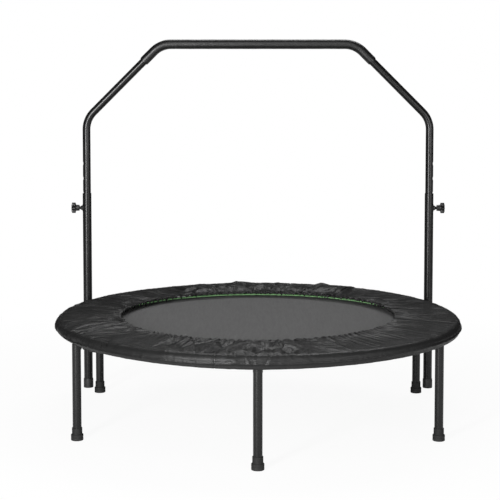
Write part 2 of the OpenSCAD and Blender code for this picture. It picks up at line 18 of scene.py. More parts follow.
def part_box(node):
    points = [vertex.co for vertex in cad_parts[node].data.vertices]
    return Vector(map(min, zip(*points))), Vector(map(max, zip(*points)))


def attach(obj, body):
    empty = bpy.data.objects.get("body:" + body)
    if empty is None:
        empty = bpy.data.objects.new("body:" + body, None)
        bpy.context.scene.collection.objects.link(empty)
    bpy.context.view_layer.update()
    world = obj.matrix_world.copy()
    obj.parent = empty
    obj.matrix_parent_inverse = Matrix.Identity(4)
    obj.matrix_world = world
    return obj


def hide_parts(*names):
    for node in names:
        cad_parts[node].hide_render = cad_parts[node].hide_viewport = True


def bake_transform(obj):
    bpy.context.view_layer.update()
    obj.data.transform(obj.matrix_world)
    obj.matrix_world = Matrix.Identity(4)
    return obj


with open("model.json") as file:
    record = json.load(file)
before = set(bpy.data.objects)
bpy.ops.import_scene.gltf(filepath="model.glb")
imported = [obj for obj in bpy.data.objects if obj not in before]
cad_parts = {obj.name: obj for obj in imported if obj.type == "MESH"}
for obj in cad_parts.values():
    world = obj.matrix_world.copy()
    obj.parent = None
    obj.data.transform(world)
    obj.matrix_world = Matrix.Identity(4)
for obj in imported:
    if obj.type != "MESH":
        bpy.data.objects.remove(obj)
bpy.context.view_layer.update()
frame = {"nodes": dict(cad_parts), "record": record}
scene = bpy.context.scene

# %% [markdown]
# ## Measure the frame
#
# Places and sizes are read from the solids' boxes, so a piece made here always meets the frame.
# The ring is round about the Z axis, the camera's side is -Y and the handle stands at +Y.


# %% Sizes read from the solids
def middle(node):
    low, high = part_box(node)
    return (low + high) / 2


def size(node):
    low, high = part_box(node)
    return high - low


ring_radius = -middle("leg_front").y
ring_height = middle("jump_mat").z
ring_tube_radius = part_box("frame_arc_front")[1].z - ring_height
mat_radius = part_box("jump_mat")[1].x
mat_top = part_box("jump_mat")[1].z
mat_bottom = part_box("jump_mat")[0].z
webbing_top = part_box("mat_edge_webbing")[1].z
elastic_radius = size("skirt_inner_elastic").z / 2
inner_hem_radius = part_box("skirt_inner_elastic")[1].x - elastic_radius
inner_hem_height = middle("skirt_inner_elastic").z
outer_hem_height = middle("skirt_outer_elastic").z
post_x = middle("right_post_cap").x
post_y = middle("right_post_cap").y
knob_height = middle("right_knob").z
LEG_ANGLES = [math.radians(-90 + 60 * i) for i in range(6)]
SIDES = (("left", -1), ("right", 1))
print(f"ring {ring_radius:.3f} m at {ring_height:.3f} m")
print(f"mat {mat_radius:.3f} m, inner hem {inner_hem_radius:.3f} m")

# %% [markdown]
# ## Camera
#
# The camera was fitted to the feet, the posts and the handle as the photograph shows them: a long lens, a
# little above the handle bar. Part of the downward view is lens shift, which keeps upright tubes upright.

# %% Camera
camera_place = Vector((0.0007, -4.3171, 1.0749))
camera_down = math.radians(4.158)
camera_turn = math.radians(0.326)

camera_data = bpy.data.cameras.new("camera")
camera_data.lens = 103.75
camera_data.sensor_width = 36
camera_data.shift_y = -0.17
camera = bpy.data.objects.new("camera", camera_data)
camera.location = camera_place
camera.rotation_euler = (math.pi / 2 - camera_down, 0, camera_turn)
scene.collection.objects.link(camera)
scene.camera = camera
print("camera at", tuple(camera_place), "lens", camera_data.lens)

# %% [markdown]
# ## Nodes by script
#
# World, finishes and Geometry Nodes are all trees of nodes. One helper adds a node, sets it up and feeds its
# inputs, so that each tree below reads as a short list of what flows where.


# %% Node tools
def add_node(tree, kind, feeds=None, **settings):
    """A node with these settings. Each input takes a plain value or the output of another node."""
    made = tree.nodes.new(kind)
    for name, value in settings.items():
        setattr(made, name, value)
    for socket, value in (feeds or {}).items():
        if isinstance(value, bpy.types.NodeSocket):
            tree.links.new(value, made.inputs[socket])
        else:
            made.inputs[socket].default_value = value
    return made


def maths(tree, operation, *feeds, clamp=True):
    """The result of a Math node, kept between 0 and 1 unless clamp is off."""
    made = add_node(tree, "ShaderNodeMath", dict(enumerate(feeds)), operation=operation, use_clamp=clamp)
    return made.outputs[0]


print("node tools ready")

# %% [markdown]
# ## Studio
#
# A white backdrop stands behind the object. A tall narrow soft box at the left front draws the bright line
# on the tubes, a wide one above the rear lights the mat, a large one above the front rounds the skirt's rim,
# and two weak ones at the right lift the shaded side. Camera and transmission rays see plain white. Gloss
# rays see the backdrop as white too, and the rest of the room as dim, so that black tubes keep dark edges.
# None of this puts more light on the object.

# %% World and lamps
scene.view_settings.view_transform = "Standard"
backdrop_side, side_edge = 0.955, 60.0
backdrop_top, top_edge = 0.10, 40.0


def seen_white(tree, room_level):
    """How white a ray sees the world: 1 for camera and transmission rays, the backdrop for gloss rays."""
    path = add_node(tree, "ShaderNodeLightPath").outputs
    place = add_node(tree, "ShaderNodeTexCoord").outputs["Generated"]
    direction = add_node(tree, "ShaderNodeSeparateXYZ", {0: place}).outputs
    sides = maths(tree, "SUBTRACT", direction["Y"], backdrop_side)
    top = maths(tree, "SUBTRACT", backdrop_top, direction["Z"])
    sides = maths(tree, "MULTIPLY", sides, side_edge)
    top = maths(tree, "MULTIPLY", top, top_edge)
    gloss = maths(tree, "MAXIMUM", maths(tree, "MULTIPLY", sides, top), room_level)
    gloss = maths(tree, "MULTIPLY", gloss, path["Is Glossy Ray"])
    clear = maths(tree, "MAXIMUM", path["Is Camera Ray"], path["Is Transmission Ray"])
    return maths(tree, "MAXIMUM", gloss, clear)


def make_world(light_level, room_level):
    """Even light for diffuse rays, and white or the dim room for rays that show the surroundings."""
    world = bpy.data.worlds.new("studio")
    world.use_nodes = True
    tree = world.node_tree
    diffuse = add_node(tree, "ShaderNodeLightPath").outputs["Is Diffuse Ray"]
    lit = maths(tree, "MULTIPLY", diffuse, light_level)
    ground = tree.nodes["Background"]
    ground.inputs["Color"].default_value = (1, 1, 1, 1)
    tree.links.new(maths(tree, "MAXIMUM", lit, seen_white(tree, room_level)), ground.inputs["Strength"])
    return world


def soft_box(name, place, width, height, power):
    aim = Vector((0, 0, 0.45))
    data = bpy.data.lights.new(name, "AREA")
    data.shape = "RECTANGLE"
    data.size = width
    data.size_y = height
    data.energy = power
    lamp = bpy.data.objects.new(name, data)
    lamp.location = place
    lamp.rotation_euler = (aim - Vector(place)).to_track_quat("-Z", "Y").to_euler()
    scene.collection.objects.link(lamp)


scene.world = make_world(light_level=0.15, room_level=0.025)
# Each lamp has a place, a width and a height in metres, and a power in watts.
soft_box("soft_box_left", (-1.7, -3.6, 1.12), 0.5, 2.2, 175)
soft_box("soft_box_rear", (0.4, 2.0, 3.2), 2.6, 1.4, 48)
soft_box("soft_box_top", (-0.2, -2.1, 2.6), 2.0, 2.4, 24)
soft_box("soft_box_right", (2.2, -3.6, 1.0), 1.6, 1.4, 44)
soft_box("soft_box_side", (3.6, -1.4, 0.9), 1.6, 1.2, 10)

# %% [markdown]
# ## Finishes
#
# A finish is a Principled shader with plain values on its own sockets, and patterns only where the real
# surface varies: a grain for the bump, a slow cloud for the tone, and another for the gloss. Each finish
# below is a function that gives the patterns by the name of their socket.

# %% Helpers for finishes
SHINE = "Specular IOR Level"


def new_finish(name, values, patterns):
    """A material whose Principled shader has plain values, and patterns on the sockets that vary."""
    made = bpy.data.materials.new(name)
    made.use_nodes = True
    tree = made.node_tree
    shader = tree.nodes["Principled BSDF"]
    for socket, value in values.items():
        shader.inputs[socket].default_value = value
    for socket, source in patterns(tree).items():
        tree.links.new(source, shader.inputs[socket])
    return made


def place_on(tree, kind="Object"):
    """The texture coordinate that a pattern follows."""
    return add_node(tree, "ShaderNodeTexCoord").outputs[kind]


def cloud(tree, grain, detail=3.0, stretch=(1, 1, 1)):
    """Soft noise whose cells are about grain metres wide."""
    place = add_node(tree, "ShaderNodeMapping", {"Vector": place_on(tree), "Scale": stretch}).outputs[0]
    feeds = {"Vector": place, "Scale": 1 / grain, "Detail": detail}
    return add_node(tree, "ShaderNodeTexNoise", feeds).outputs["Fac"]


def cells(tree, grain):
    """Distance from the middle of cells that are about grain metres wide."""
    feeds = {"Vector": place_on(tree), "Scale": 1 / grain}
    return add_node(tree, "ShaderNodeTexVoronoi", feeds).outputs["Distance"]


def spread(tree, source, low, high, from_low=0.3, from_high=0.7):
    """Maps a 0 to 1 pattern to a range of plain numbers."""
    feeds = {"Value": source, "From Min": from_low, "From Max": from_high, "To Min": low, "To Max": high}
    return add_node(tree, "ShaderNodeMapRange", feeds).outputs["Result"]


def tint(tree, source, dark, light):
    """Colours a 0 to 1 pattern from dark to light."""
    feeds = {0: source, 6: (*dark, 1), 7: (*light, 1)}
    return add_node(tree, "ShaderNodeMix", feeds, data_type="RGBA").outputs[2]


def relief(tree, source, depth, under=None):
    """Bump of a real depth in metres, over another bump if there is one."""
    feeds = {"Height": source, "Strength": 1.0, "Distance": depth}
    if under is not None:
        feeds["Normal"] = under
    return add_node(tree, "ShaderNodeBump", feeds).outputs["Normal"]


def grey(level):
    """A neutral colour from its display value, 0 to 255."""
    share = level / 255
    linear = share / 12.92 if share <= 0.04045 else ((share + 0.055) / 1.055) ** 2.4
    return (linear, linear, linear)


def colour(red, green, blue):
    """A colour from its display values, 0 to 255."""
    return (grey(red)[0], grey(green)[0], grey(blue)[0])


print("grey 128 is", round(grey(128)[0], 3), "in linear light")

# %% [markdown]
# ### Coated steel, rubber and plastic
#
# Powder coat is baked on, so it has hardly any relief and a satin gloss that drifts a little. Rubber feet are
# duller and dusty near the floor. Moulded plastic has the fine grain of its mould, and zinc plate is a metal
# with a cloudy blush. All are patterns in Object coordinates, because round tubes have no seams to unwrap.


# %% Hard finishes
def powder_coat(tree):
    return {
        "Base Color": tint(tree, cloud(tree, 0.03), grey(16), grey(20)),
        "Roughness": spread(tree, cloud(tree, 0.012), 0.26, 0.31),
        "Normal": relief(tree, cloud(tree, 0.0022, 2), 0.00001),
    }


def foot_rubber(tree):
    dust_top = 0.02
    height = add_node(tree, "ShaderNodeSeparateXYZ", {0: place_on(tree)}).outputs["Z"]
    low_down = spread(tree, height, 0.8, 0.1, 0.0, dust_top)
    dust = maths(tree, "MULTIPLY", low_down, cloud(tree, 0.004, 5))
    return {
        "Base Color": tint(tree, dust, grey(27), grey(52)),
        "Roughness": spread(tree, cloud(tree, 0.006), 0.6, 0.75),
        "Normal": relief(tree, cloud(tree, 0.0008, 2), 0.00008),
    }


def moulded_plastic(name, dark, light, gloss):
    def patterns(tree):
        return {
            "Base Color": tint(tree, cloud(tree, 0.01), grey(dark), grey(light)),
            "Roughness": spread(tree, cloud(tree, 0.004), gloss, gloss + 0.1),
            "Normal": relief(tree, cells(tree, 0.0007), 0.00005),
        }

    return new_finish(name, {SHINE: 0.5}, patterns)


def zinc_plate(name, dark, light):
    def patterns(tree):
        return {
            "Base Color": tint(tree, cloud(tree, 0.006), dark, light),
            "Roughness": spread(tree, cloud(tree, 0.002, 4), 0.26, 0.44),
            "Normal": relief(tree, cloud(tree, 0.0006, 2), 0.00002),
        }

    return new_finish(name, {"Metallic": 1.0}, patterns)


COAT = new_finish("powder_coat", {SHINE: 0.38}, powder_coat)
RUBBER = new_finish("foot_rubber", {SHINE: 0.25}, foot_rubber)
PLASTIC = moulded_plastic("black_plastic", 26, 32, 0.45)
KNOB_PLASTIC = moulded_plastic("knob_plastic", 18, 24, 0.24)
ZINC = zinc_plate("zinc_plate", colour(178, 180, 184), colour(205, 204, 198))
BLACK_ZINC = zinc_plate("black_zinc_plate", grey(58), grey(74))
print("hard finishes:", [m.name for m in (COAT, RUBBER, PLASTIC, KNOB_PLASTIC, ZINC, BLACK_ZINC)])

# %% [markdown]
# ### Foam and cloth
#
# Grip foam has a skin with a soft sheen over fine pores. The mat is a close weave of flat yarn: two sets of
# bands cross, and a checker says which one lies on top. The skirt is a thin coated cloth whose weave shows
# only as a faint grid under its sheen, with creases too fine to model. Tapes are ribbed along their length.
# The green edge tape is coloured paler than its own green: painted light, where the skirt's hem shades it.


# %% Soft finishes
def bands(tree, source, direction, pitch):
    """Sine bands with this pitch in metres, across X or Y of a coordinate."""
    phase_per_metre = 20
    scale = 2 * math.pi / phase_per_metre / pitch
    feeds = {"Vector": source, "Scale": scale, "Distortion": 0.0}
    return add_node(tree, "ShaderNodeTexWave", feeds, bands_direction=direction).outputs["Fac"]


def weave(tree, source, pitch):
    """Plain weave: yarns of this pitch in metres that cross over and under."""
    over = add_node(tree, "ShaderNodeTexChecker", {"Vector": source, "Scale": 1 / pitch}).outputs["Fac"]
    feeds = {0: over, 2: bands(tree, source, "X", pitch), 3: bands(tree, source, "Y", pitch)}
    return add_node(tree, "ShaderNodeMix", feeds, data_type="FLOAT").outputs[0]


def grip_foam(tree):
    skin = relief(tree, cloud(tree, 0.006), 0.0001)
    return {
        "Base Color": tint(tree, cloud(tree, 0.02), grey(15), grey(19)),
        "Normal": relief(tree, cells(tree, 0.0011), 0.0001, skin),
    }


def mat_cloth(tree):
    yarn = weave(tree, place_on(tree), 0.0016)
    streak = cloud(tree, 0.02, 3, stretch=(4, 0.35, 1))
    shade = maths(tree, "MULTIPLY_ADD", yarn, 0.5, spread(tree, streak, 0.12, 0.38))
    return {"Base Color": tint(tree, shade, grey(90), grey(118)), "Normal": relief(tree, yarn, 0.00025)}


def crease_lines(tree, grain):
    """Noise without its sign, which is creased wherever the noise changes sign."""
    return maths(tree, "ABSOLUTE", maths(tree, "SUBTRACT", cloud(tree, grain, 1), 0.5, clamp=False))


def skirt_cloth(tree):
    fold = relief(tree, crease_lines(tree, 0.045), 0.0025)
    fold = relief(tree, crease_lines(tree, 0.013), 0.0002, fold)
    return {
        "Base Color": tint(tree, cloud(tree, 0.05), grey(29), grey(34)),
        "Roughness": spread(tree, cloud(tree, 0.03, 4), 0.33, 0.43),
        "Normal": relief(tree, weave(tree, place_on(tree, "UV"), 0.0007), 0.00004, fold),
    }


def tape(name, dark, light, rib):
    """Woven tape, ribbed across its own V direction."""
    def patterns(tree):
        along = place_on(tree, "UV")
        ribs = tint(tree, bands(tree, along, "X", rib), dark, light)
        return {"Base Color": ribs, "Normal": relief(tree, weave(tree, along, rib), 0.0002)}

    return new_finish(name, {"Roughness": 0.7, SHINE: 0.3}, patterns)


def sewing_thread(name, shade):
    def patterns(tree):
        return {"Base Color": tint(tree, cloud(tree, 0.002), tuple(0.8 * c for c in shade), shade)}

    return new_finish(name, {"Roughness": 0.6, SHINE: 0.3}, patterns)


def elastic_braid(tree):
    yarn = weave(tree, place_on(tree), 0.0009)
    return {"Base Color": tint(tree, yarn, grey(34), grey(58)), "Normal": relief(tree, yarn, 0.0002)}


FOAM = new_finish("grip_foam", {"Roughness": 0.36, SHINE: 0.5}, grip_foam)
MAT_CLOTH = new_finish("mat_cloth", {"Roughness": 0.75, SHINE: 0.08}, mat_cloth)
SKIRT_CLOTH = new_finish("skirt_cloth", {SHINE: 0.24}, skirt_cloth)
# Painted light: the edge tape's greens are paler than the tape's own, standing in for light that the skirt's
# hem keeps off it.
PAINTED_LIGHT_EDGE_TAPE = tape("edge_tape", colour(132, 196, 126), colour(182, 234, 170), 0.0016)
LOOP_TAPE = tape("loop_tape", grey(26), grey(44), 0.0014)
BLACK_THREAD = sewing_thread("black_thread", grey(30))
GREEN_THREAD = sewing_thread("green_thread", colour(150, 205, 148))
ELASTIC = new_finish("elastic_braid", {"Roughness": 0.75, SHINE: 0.3}, elastic_braid)
print("soft finishes:", [m.name for m in (FOAM, MAT_CLOTH, SKIRT_CLOTH, PAINTED_LIGHT_EDGE_TAPE, LOOP_TAPE, ELASTIC)])

# %% [markdown]
# ### Solids that stay
#
# Tubes, posts, spacers and saddle washers are right as they are: round stock with true bores. They keep
# their solids, and only their finish is set. Solids that are replaced later get theirs in the same loop.

# %% Finish the solids that stay
FINISH_OF_SLOT = {
    "coated_steel": COAT,
    "black_plastic": PLASTIC,
    "zinc_steel": ZINC,
    "foot_rubber": RUBBER,
    "knob_plastic": KNOB_PLASTIC,
    "grip_foam": FOAM,
    "mat_weave": MAT_CLOTH,
    "edge_webbing": PAINTED_LIGHT_EDGE_TAPE,
    "loop_webbing": LOOP_TAPE,
    "skirt_fabric": SKIRT_CLOTH,
    "elastic_cord": ELASTIC,
}
for part in frame["record"]["subparts"]:
    solid = frame["nodes"][part["node"]]
    solid.data.materials.clear()
    solid.data.materials.append(FINISH_OF_SLOT[part["material_slot"]])

# %% [markdown]
# ## Floor
#
# The floor is a pale disc that keeps a soft shadow close to the feet. Away from the object it runs into the
# white of the world, so no edge shows.


# %% Floor
def floor_finish(near, far):
    made = bpy.data.materials.new("studio_floor")
    made.use_nodes = True
    tree = made.node_tree
    tree.nodes.clear()
    pale = add_node(tree, "ShaderNodeBsdfDiffuse", {"Color": (0.9, 0.9, 0.9, 1)})
    white = add_node(tree, "ShaderNodeEmission", {"Color": (1, 1, 1, 1), "Strength": 1})
    away = add_node(tree, "ShaderNodeVectorMath", {0: place_on(tree)}, operation="LENGTH")
    white_below = 0.93
    share = spread(tree, away.outputs["Value"], white_below, 1.0, near, far)
    seen = maths(tree, "MULTIPLY", share, add_node(tree, "ShaderNodeLightPath").outputs["Is Camera Ray"])
    choice = add_node(tree, "ShaderNodeMixShader", {0: seen, 1: pale.outputs[0], 2: white.outputs[0]})
    add_node(tree, "ShaderNodeOutputMaterial", {"Surface": choice.outputs[0]})
    return made


def mesh_object(name, points, faces, edges=()):
    mesh = bpy.data.meshes.new(name)
    mesh.from_pydata([tuple(p) for p in points], [tuple(e) for e in edges], [tuple(f) for f in faces])
    mesh.validate()
    mesh.update()
    made = bpy.data.objects.new(name, mesh)
    scene.collection.objects.link(made)
    return made


def full_turn(count):
    """Angles spaced evenly round a full turn."""
    return [2 * math.pi * k / count for k in range(count)]


def polar(angle, radius, height):
    """The point at an angle and a distance about the Z axis."""
    return (radius * math.cos(angle), radius * math.sin(angle), height)


floor_radius = 3.0
floor_steps = 96
floor_rim = [polar(a, floor_radius, 0) for a in full_turn(floor_steps)]
floor = mesh_object("floor", floor_rim, [range(floor_steps)])
floor.data.materials.append(floor_finish(near=0.75, far=1.9))
print("floor of", 2 * floor_radius, "m")

# %% [markdown]
# ## Turned pieces
#
# Feet, caps, knobs and screws are round, so each is a row of rings joined in order. Mostly the rings come
# from one outline turned about its own axis. The outline's corners are rounded with small arcs first: on a
# real moulding no edge is sharp, and the round edge is what catches light.


# %% Turning tools
def rounded(corners, steps=4):
    """An outline whose corners, given as (across, along, radius), become arcs."""
    line = []
    most = 0.45
    for i, (x, y, radius) in enumerate(corners):
        here = Vector((x, y))
        if radius <= 0 or i in (0, len(corners) - 1):
            line.append(here)
            continue
        back = Vector(corners[i - 1][:2]) - here
        ahead = Vector(corners[i + 1][:2]) - here
        reach = min(radius, most * back.length, most * ahead.length)
        start = here + back.normalized() * reach
        stop = here + ahead.normalized() * reach
        for k in range(steps + 1):
            t = k / steps
            line.append(start * (1 - t) ** 2 + here * 2 * t * (1 - t) + stop * t**2)
    return line


def ring_of(angles, across, along):
    """Points round the Z axis, or one point where the ring has no width."""
    narrowest = 1e-6
    return [polar(a, across, along) for a in (angles if across > narrowest else [0])]


def lofted(rings):
    """Points and faces of rings that are joined in order. A ring of one point closes an end."""
    sides = max(len(ring) for ring in rings)
    points, faces, first = list(rings[0]), [], 0
    for low, high in zip(rings, rings[1:]):
        second = len(points)
        points.extend(high)
        for k in range(sides):
            n = (k + 1) % sides
            below = [first + k % len(low), first + n % len(low)]
            above = [second + n % len(high), second + k % len(high)]
            faces.append(list(dict.fromkeys(below + above)))
        first = second
    return points, faces


def turned(outline, sides):
    """Points and faces of an outline of (across, along) turned about Z."""
    return lofted([ring_of(full_turn(sides), across, along) for across, along in outline])


def merge(made, distance=1e-7, outwards=True):
    """Merges doubled points, and turns all faces outwards where the piece is closed."""
    work = bmesh.new()
    work.from_mesh(made.data)
    bmesh.ops.remove_doubles(work, verts=work.verts, dist=distance)
    if outwards:
        bmesh.ops.recalc_face_normals(work, faces=work.faces)
    work.to_mesh(made.data)
    work.free()


def smooth(made, angle=40):
    """Smooth shading with sharp edges kept where faces meet at more than this angle."""
    made.data.shade_smooth()
    made.data.set_sharp_from_angle(angle=math.radians(angle))


def dress(made, finish, body, stands_for):
    """Gives a piece its finish, its body and the solids that it stands for."""
    made.data.materials.clear()
    made.data.materials.append(finish)
    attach(made, body)
    if stands_for:
        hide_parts(*stands_for)
    return made


def add_piece(name, shape, finish, body, stands_for, matrix=None, angle=40):
    """A smooth piece of (points, faces), dressed and put in its place."""
    made = mesh_object(name, *shape)
    if matrix is not None:
        made.data.transform(matrix)
    merge(made)
    smooth(made, angle)
    return dress(made, finish, body, stands_for)


print("a turned cone has", len(turned([(0, 0), (1, 1)], 8)[1]), "faces for eight sides")

# %% [markdown]
# ### Feet
#
# Each leg ends in a rubber foot: a flared pad with a tread below, a groove round it, and a sleeve up the
# tube. A lathe profile is the natural way to make it. The six differ only in place, so one outline serves
# all.

# %% Feet
foot_height = size("foot_front").z
foot_radius = size("foot_front").x / 2
leg_radius = size("leg_front").x / 2
flare_height = 0.017
sleeve_radius = 0.0146
sole = 0.006
tread = 0.0012
groove = 0.0006
fine, edge = 0.0003, 0.0004
FOOT_OUTLINE = rounded([
    (0, tread, 0),
    (0.0055, tread, fine),
    (0.0060, 0, fine),
    (0.0085, 0, fine),
    (0.0090, tread, fine),
    (0.0115, tread, fine),
    (0.0120, 0, fine),
    (foot_radius, 0, 0.0016),
    (foot_radius, 0.0075, edge),
    (foot_radius - groove, 0.0080, edge),
    (foot_radius - groove, 0.0092, edge),
    (foot_radius, 0.0097, edge),
    (foot_radius, flare_height, 0.0022),
    (sleeve_radius, flare_height + 0.0012, 0.0012),
    (sleeve_radius, foot_height, 0.0012),
    (leg_radius, foot_height - 0.0002, 0),
    (leg_radius, sole, 0),
    (0, sole, 0),
])
for node in sorted(n for n in frame["nodes"] if n.startswith("foot_")):
    name = node.replace("foot_", "rubber_foot_")
    place = Matrix.Translation((middle(node).x, middle(node).y, 0))
    add_piece(name, turned(FOOT_OUTLINE, 48), RUBBER, "frame", [node], place)
print("six rubber feet,", len(FOOT_OUTLINE), "points in the outline")

# %% [markdown]
# ### Post caps
#
# A moulded cap closes the lower end of each post. It is a shallow cup, with the small step that a mould
# leaves at its lip. A cylinder with a bevel would do from afar, but the lip needs a profile, so the cap is
# turned in the same way as the feet.

# %% Post caps
cap_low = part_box("right_post_cap")[0].z
cap_radius = size("right_post_cap").x / 2
cap_height = size("right_post_cap").z
cap_wall = 0.0016
cap_floor = 0.004
lip_step = 0.0004
post_radius = size("left_post_cap").y / 2 - cap_wall
CAP_OUTLINE = rounded([
    (0, 0, 0),
    (cap_radius, 0, 0.0018),
    (cap_radius, cap_height - 0.0042, fine),
    (cap_radius - lip_step, cap_height - 0.0038, fine),
    (cap_radius - lip_step, cap_height, 0.0008),
    (post_radius, cap_height, 0),
    (post_radius, cap_floor, 0),
    (0, cap_floor, 0),
])
for side, _ in SIDES:
    node = f"{side}_post_cap"
    place = Matrix.Translation((middle(node).x, middle(node).y, cap_low))
    add_piece(f"{side}_end_cap", turned(CAP_OUTLINE, 56), PLASTIC, "frame", [node], place)
print("two end caps of", round(2000 * cap_radius, 1), "mm")

# %% [markdown]
# ### Star knobs
#
# A star knob locks the handle at each side. Its head could be cut from a disc with eight round bites, but its
# edges would then need rounding. Here the turned outline is moved instead: its radius swings in and out eight
# times round the head, and the swing fades at the hub and over the rounded rim.

# %% Star knobs
knob_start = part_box("right_knob")[0].x
knob_length = size("right_knob").x
knob_radius = size("right_knob").z / 2
hub_radius = 0.010
hub_length = 0.012
core_radius = 0.0108
dish = 0.0009
soft_edge = 0.0008
lobe_height = knob_radius - core_radius
lobe_count = 8
lobe_roundness = 0.6
rim_start = 0.8 * core_radius
head_start = hub_length - 0.0008
head_rise = 0.0016
KNOB_OUTLINE = rounded([
    (0, 0, 0),
    (hub_radius * 0.96, 0, soft_edge),
    (hub_radius, hub_length - 0.002, 0.002),
    (core_radius, hub_length, 0.0015),
    (core_radius, knob_length, 0.0030),
    (core_radius * 0.66, knob_length, soft_edge),
    (core_radius * 0.6, knob_length - dish, soft_edge),
    (0, knob_length - dish, 0),
], 6)


def star_knob():
    """Points and faces of a knob along Z: hub first, then the lobed head with a shallow dish in its face."""
    points, faces = turned(KNOB_OUTLINE, 128)
    moved = []
    for x, y, z in points:
        across = math.hypot(x, y)
        rim = max(0.0, min(1.0, (across - rim_start) / (core_radius - rim_start)))
        head = max(0.0, min(1.0, (z - head_start) / head_rise))
        swing = (0.5 + 0.5 * math.cos(lobe_count * math.atan2(y, x))) ** lobe_roundness
        grown = 1 + lobe_height * swing * rim * head / max(across, 1e-6)
        moved.append((x * grown, y * grown, z))
    return moved, faces


def along_x(node, outward, start):
    """Stands a piece made along Z at a node's axis, pointing to +X or -X from a distance."""
    turn = Matrix.Rotation(outward * math.pi / 2, 4, "Y")
    return Matrix.Translation((start, middle(node).y, middle(node).z)) @ turn


for side, outward in SIDES:
    node = f"{side}_knob"
    place = along_x(node, outward, outward * knob_start)
    add_piece(f"{side}_star_knob", star_knob(), KNOB_PLASTIC, node, [node], place, 50)
print("two star knobs,", lobe_count, "lobes,", round(2000 * knob_radius, 1), "mm across")

# %% [markdown]
# ### Threaded studs
#
# The knob turns a threaded stud that enters a hole in the handle's tube. A Screw modifier could sweep a
# thread, but its ends are hard to close. Rings of one rod do it too: the radius at each point follows its
# turn angle plus the distance along the rod, which is a true helix, and both ends are chamfered.


# %% Threaded studs
def threaded_rod(radius, length, pitch, rows_per_pitch=6, sides=24):
    """Points and faces of a rod along Z with a helical thread and chamfered ends."""
    depth = 0.6 * pitch
    count = int(round(length / pitch * rows_per_pitch))
    rings = [[(0, 0, 0)]]
    for i in range(count + 1):
        z = length * i / count
        widest = radius - max(0.0, depth - min(z, length - z))
        waves = [abs(((z / pitch - k / sides) % 1.0) * 2 - 1) for k in range(sides)]
        radii = [min(radius - depth * (1 - wave), widest) for wave in waves]
        rings.append([polar(a, r, z) for a, r in zip(full_turn(sides), radii)])
    return lofted(rings + [[(0, 0, length)]])


stud_pitch = 0.0015
stud_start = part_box("right_knob_stud")[0].x
stud_size = size("right_knob_stud")
for side, outward in SIDES:
    node = f"{side}_knob_stud"
    place = along_x(node, outward, outward * stud_start)
    rod = threaded_rod(stud_size.z / 2, stud_size.x, stud_pitch)
    add_piece(f"{side}_threaded_stud", rod, BLACK_ZINC, f"{side}_stud", [node], place, 60)
print("two studs with a", 1000 * stud_pitch, "mm thread")

# %% [markdown]
# ## Geometry Nodes tools
#
# Three small trees make what repeats or follows a path: a round wire along edges, a row of stitches along
# edges, and a fastener on each point of a set. A helper runs a tree on a mesh and keeps the result as a plain
# mesh, so that nothing depends on a modifier later.


# %% Run a tree
def new_tree(name, inputs):
    """A Geometry Nodes tree with named inputs and a finish. Gives the tree and what its inputs bring in."""
    tree = bpy.data.node_groups.new(name, "GeometryNodeTree")
    kinds = {"Geometry": "Geometry", **inputs, "Finish": "Material"}
    for label, kind in kinds.items():
        tree.interface.new_socket(label, in_out="INPUT", socket_type=f"NodeSocket{kind}")
    tree.interface.new_socket("Geometry", in_out="OUTPUT", socket_type="NodeSocketGeometry")
    return tree, tree.nodes.new("NodeGroupInput").outputs


def end_tree(tree, given, source):
    """Ends a tree in Realize Instances, Set Shade Smooth and Set Material."""
    real = add_node(tree, "GeometryNodeRealizeInstances", {0: source})
    shade = add_node(tree, "GeometryNodeSetShadeSmooth", {0: real.outputs[0]})
    feeds = {"Geometry": shade.outputs[0], "Material": given["Finish"]}
    coat = add_node(tree, "GeometryNodeSetMaterial", feeds)
    add_node(tree, "NodeGroupOutput", {0: coat.outputs[0]})
    return tree


def evaluated_mesh(made):
    """The mesh of an object with its modifiers applied."""
    ready = made.evaluated_get(bpy.context.evaluated_depsgraph_get())
    return bpy.data.meshes.new_from_object(ready)


def run_tree(name, tree, source, inputs):
    """Runs a tree on an object and gives the result as a plain mesh object."""
    live = source.modifiers.new(name, "NODES")
    live.node_group = tree
    for item in tree.interface.items_tree:
        if item.in_out == "INPUT" and item.name in inputs:
            live[item.identifier] = inputs[item.name]
    mesh = evaluated_mesh(source)
    mesh.name = name
    made = bpy.data.objects.new(name, mesh)
    scene.collection.objects.link(made)
    source.modifiers.remove(live)
    bpy.data.objects.remove(source)
    return made


def path_object(paths, closed):
    """Edges along one or more rows of points."""
    points, edges = [], []
    for path in paths:
        first = len(points)
        points.extend(path)
        edges.extend((first + i, first + i + 1) for i in range(len(path) - 1))
        if closed:
            edges.append((len(points) - 1, first))
    return mesh_object("path", points, [], edges)


# %% [markdown]
# ### Round wire
#
# Springs, rings, weld beads, cords and zigzag threads are all one round section along a line. A curve with a
# bevel would do, but a tree gives every piece the same inputs: radius, number of sides and finish.


# %% Tree for round wire
def wire_tree():
    tree, given = new_tree("round_wire", {"Wire radius": "Float", "Sides": "Int"})
    line = add_node(tree, "GeometryNodeMeshToCurve", {0: given["Geometry"]})
    feeds = {"Radius": given["Wire radius"], "Resolution": given["Sides"]}
    section = add_node(tree, "GeometryNodeCurvePrimitiveCircle", feeds)
    feeds = {"Curve": line.outputs[0], "Profile Curve": section.outputs[0], "Fill Caps": True}
    body = add_node(tree, "GeometryNodeCurveToMesh", feeds)
    return end_tree(tree, given, body.outputs[0])


WIRE = wire_tree()


def wire(name, paths, radius, finish, sides=8, closed=False):
    inputs = {"Wire radius": radius, "Sides": sides, "Finish": finish}
    return run_tree(name, WIRE, path_object(paths, closed), inputs)


print("tree:", WIRE.name)

# %% [markdown]
# ### Rows of stitches
#
# A stitch is a short thread that dips into the cloth at both ends, so a stretched bead is enough for it. The
# tree spaces points evenly along a line and lays one bead on each, turned along the line.


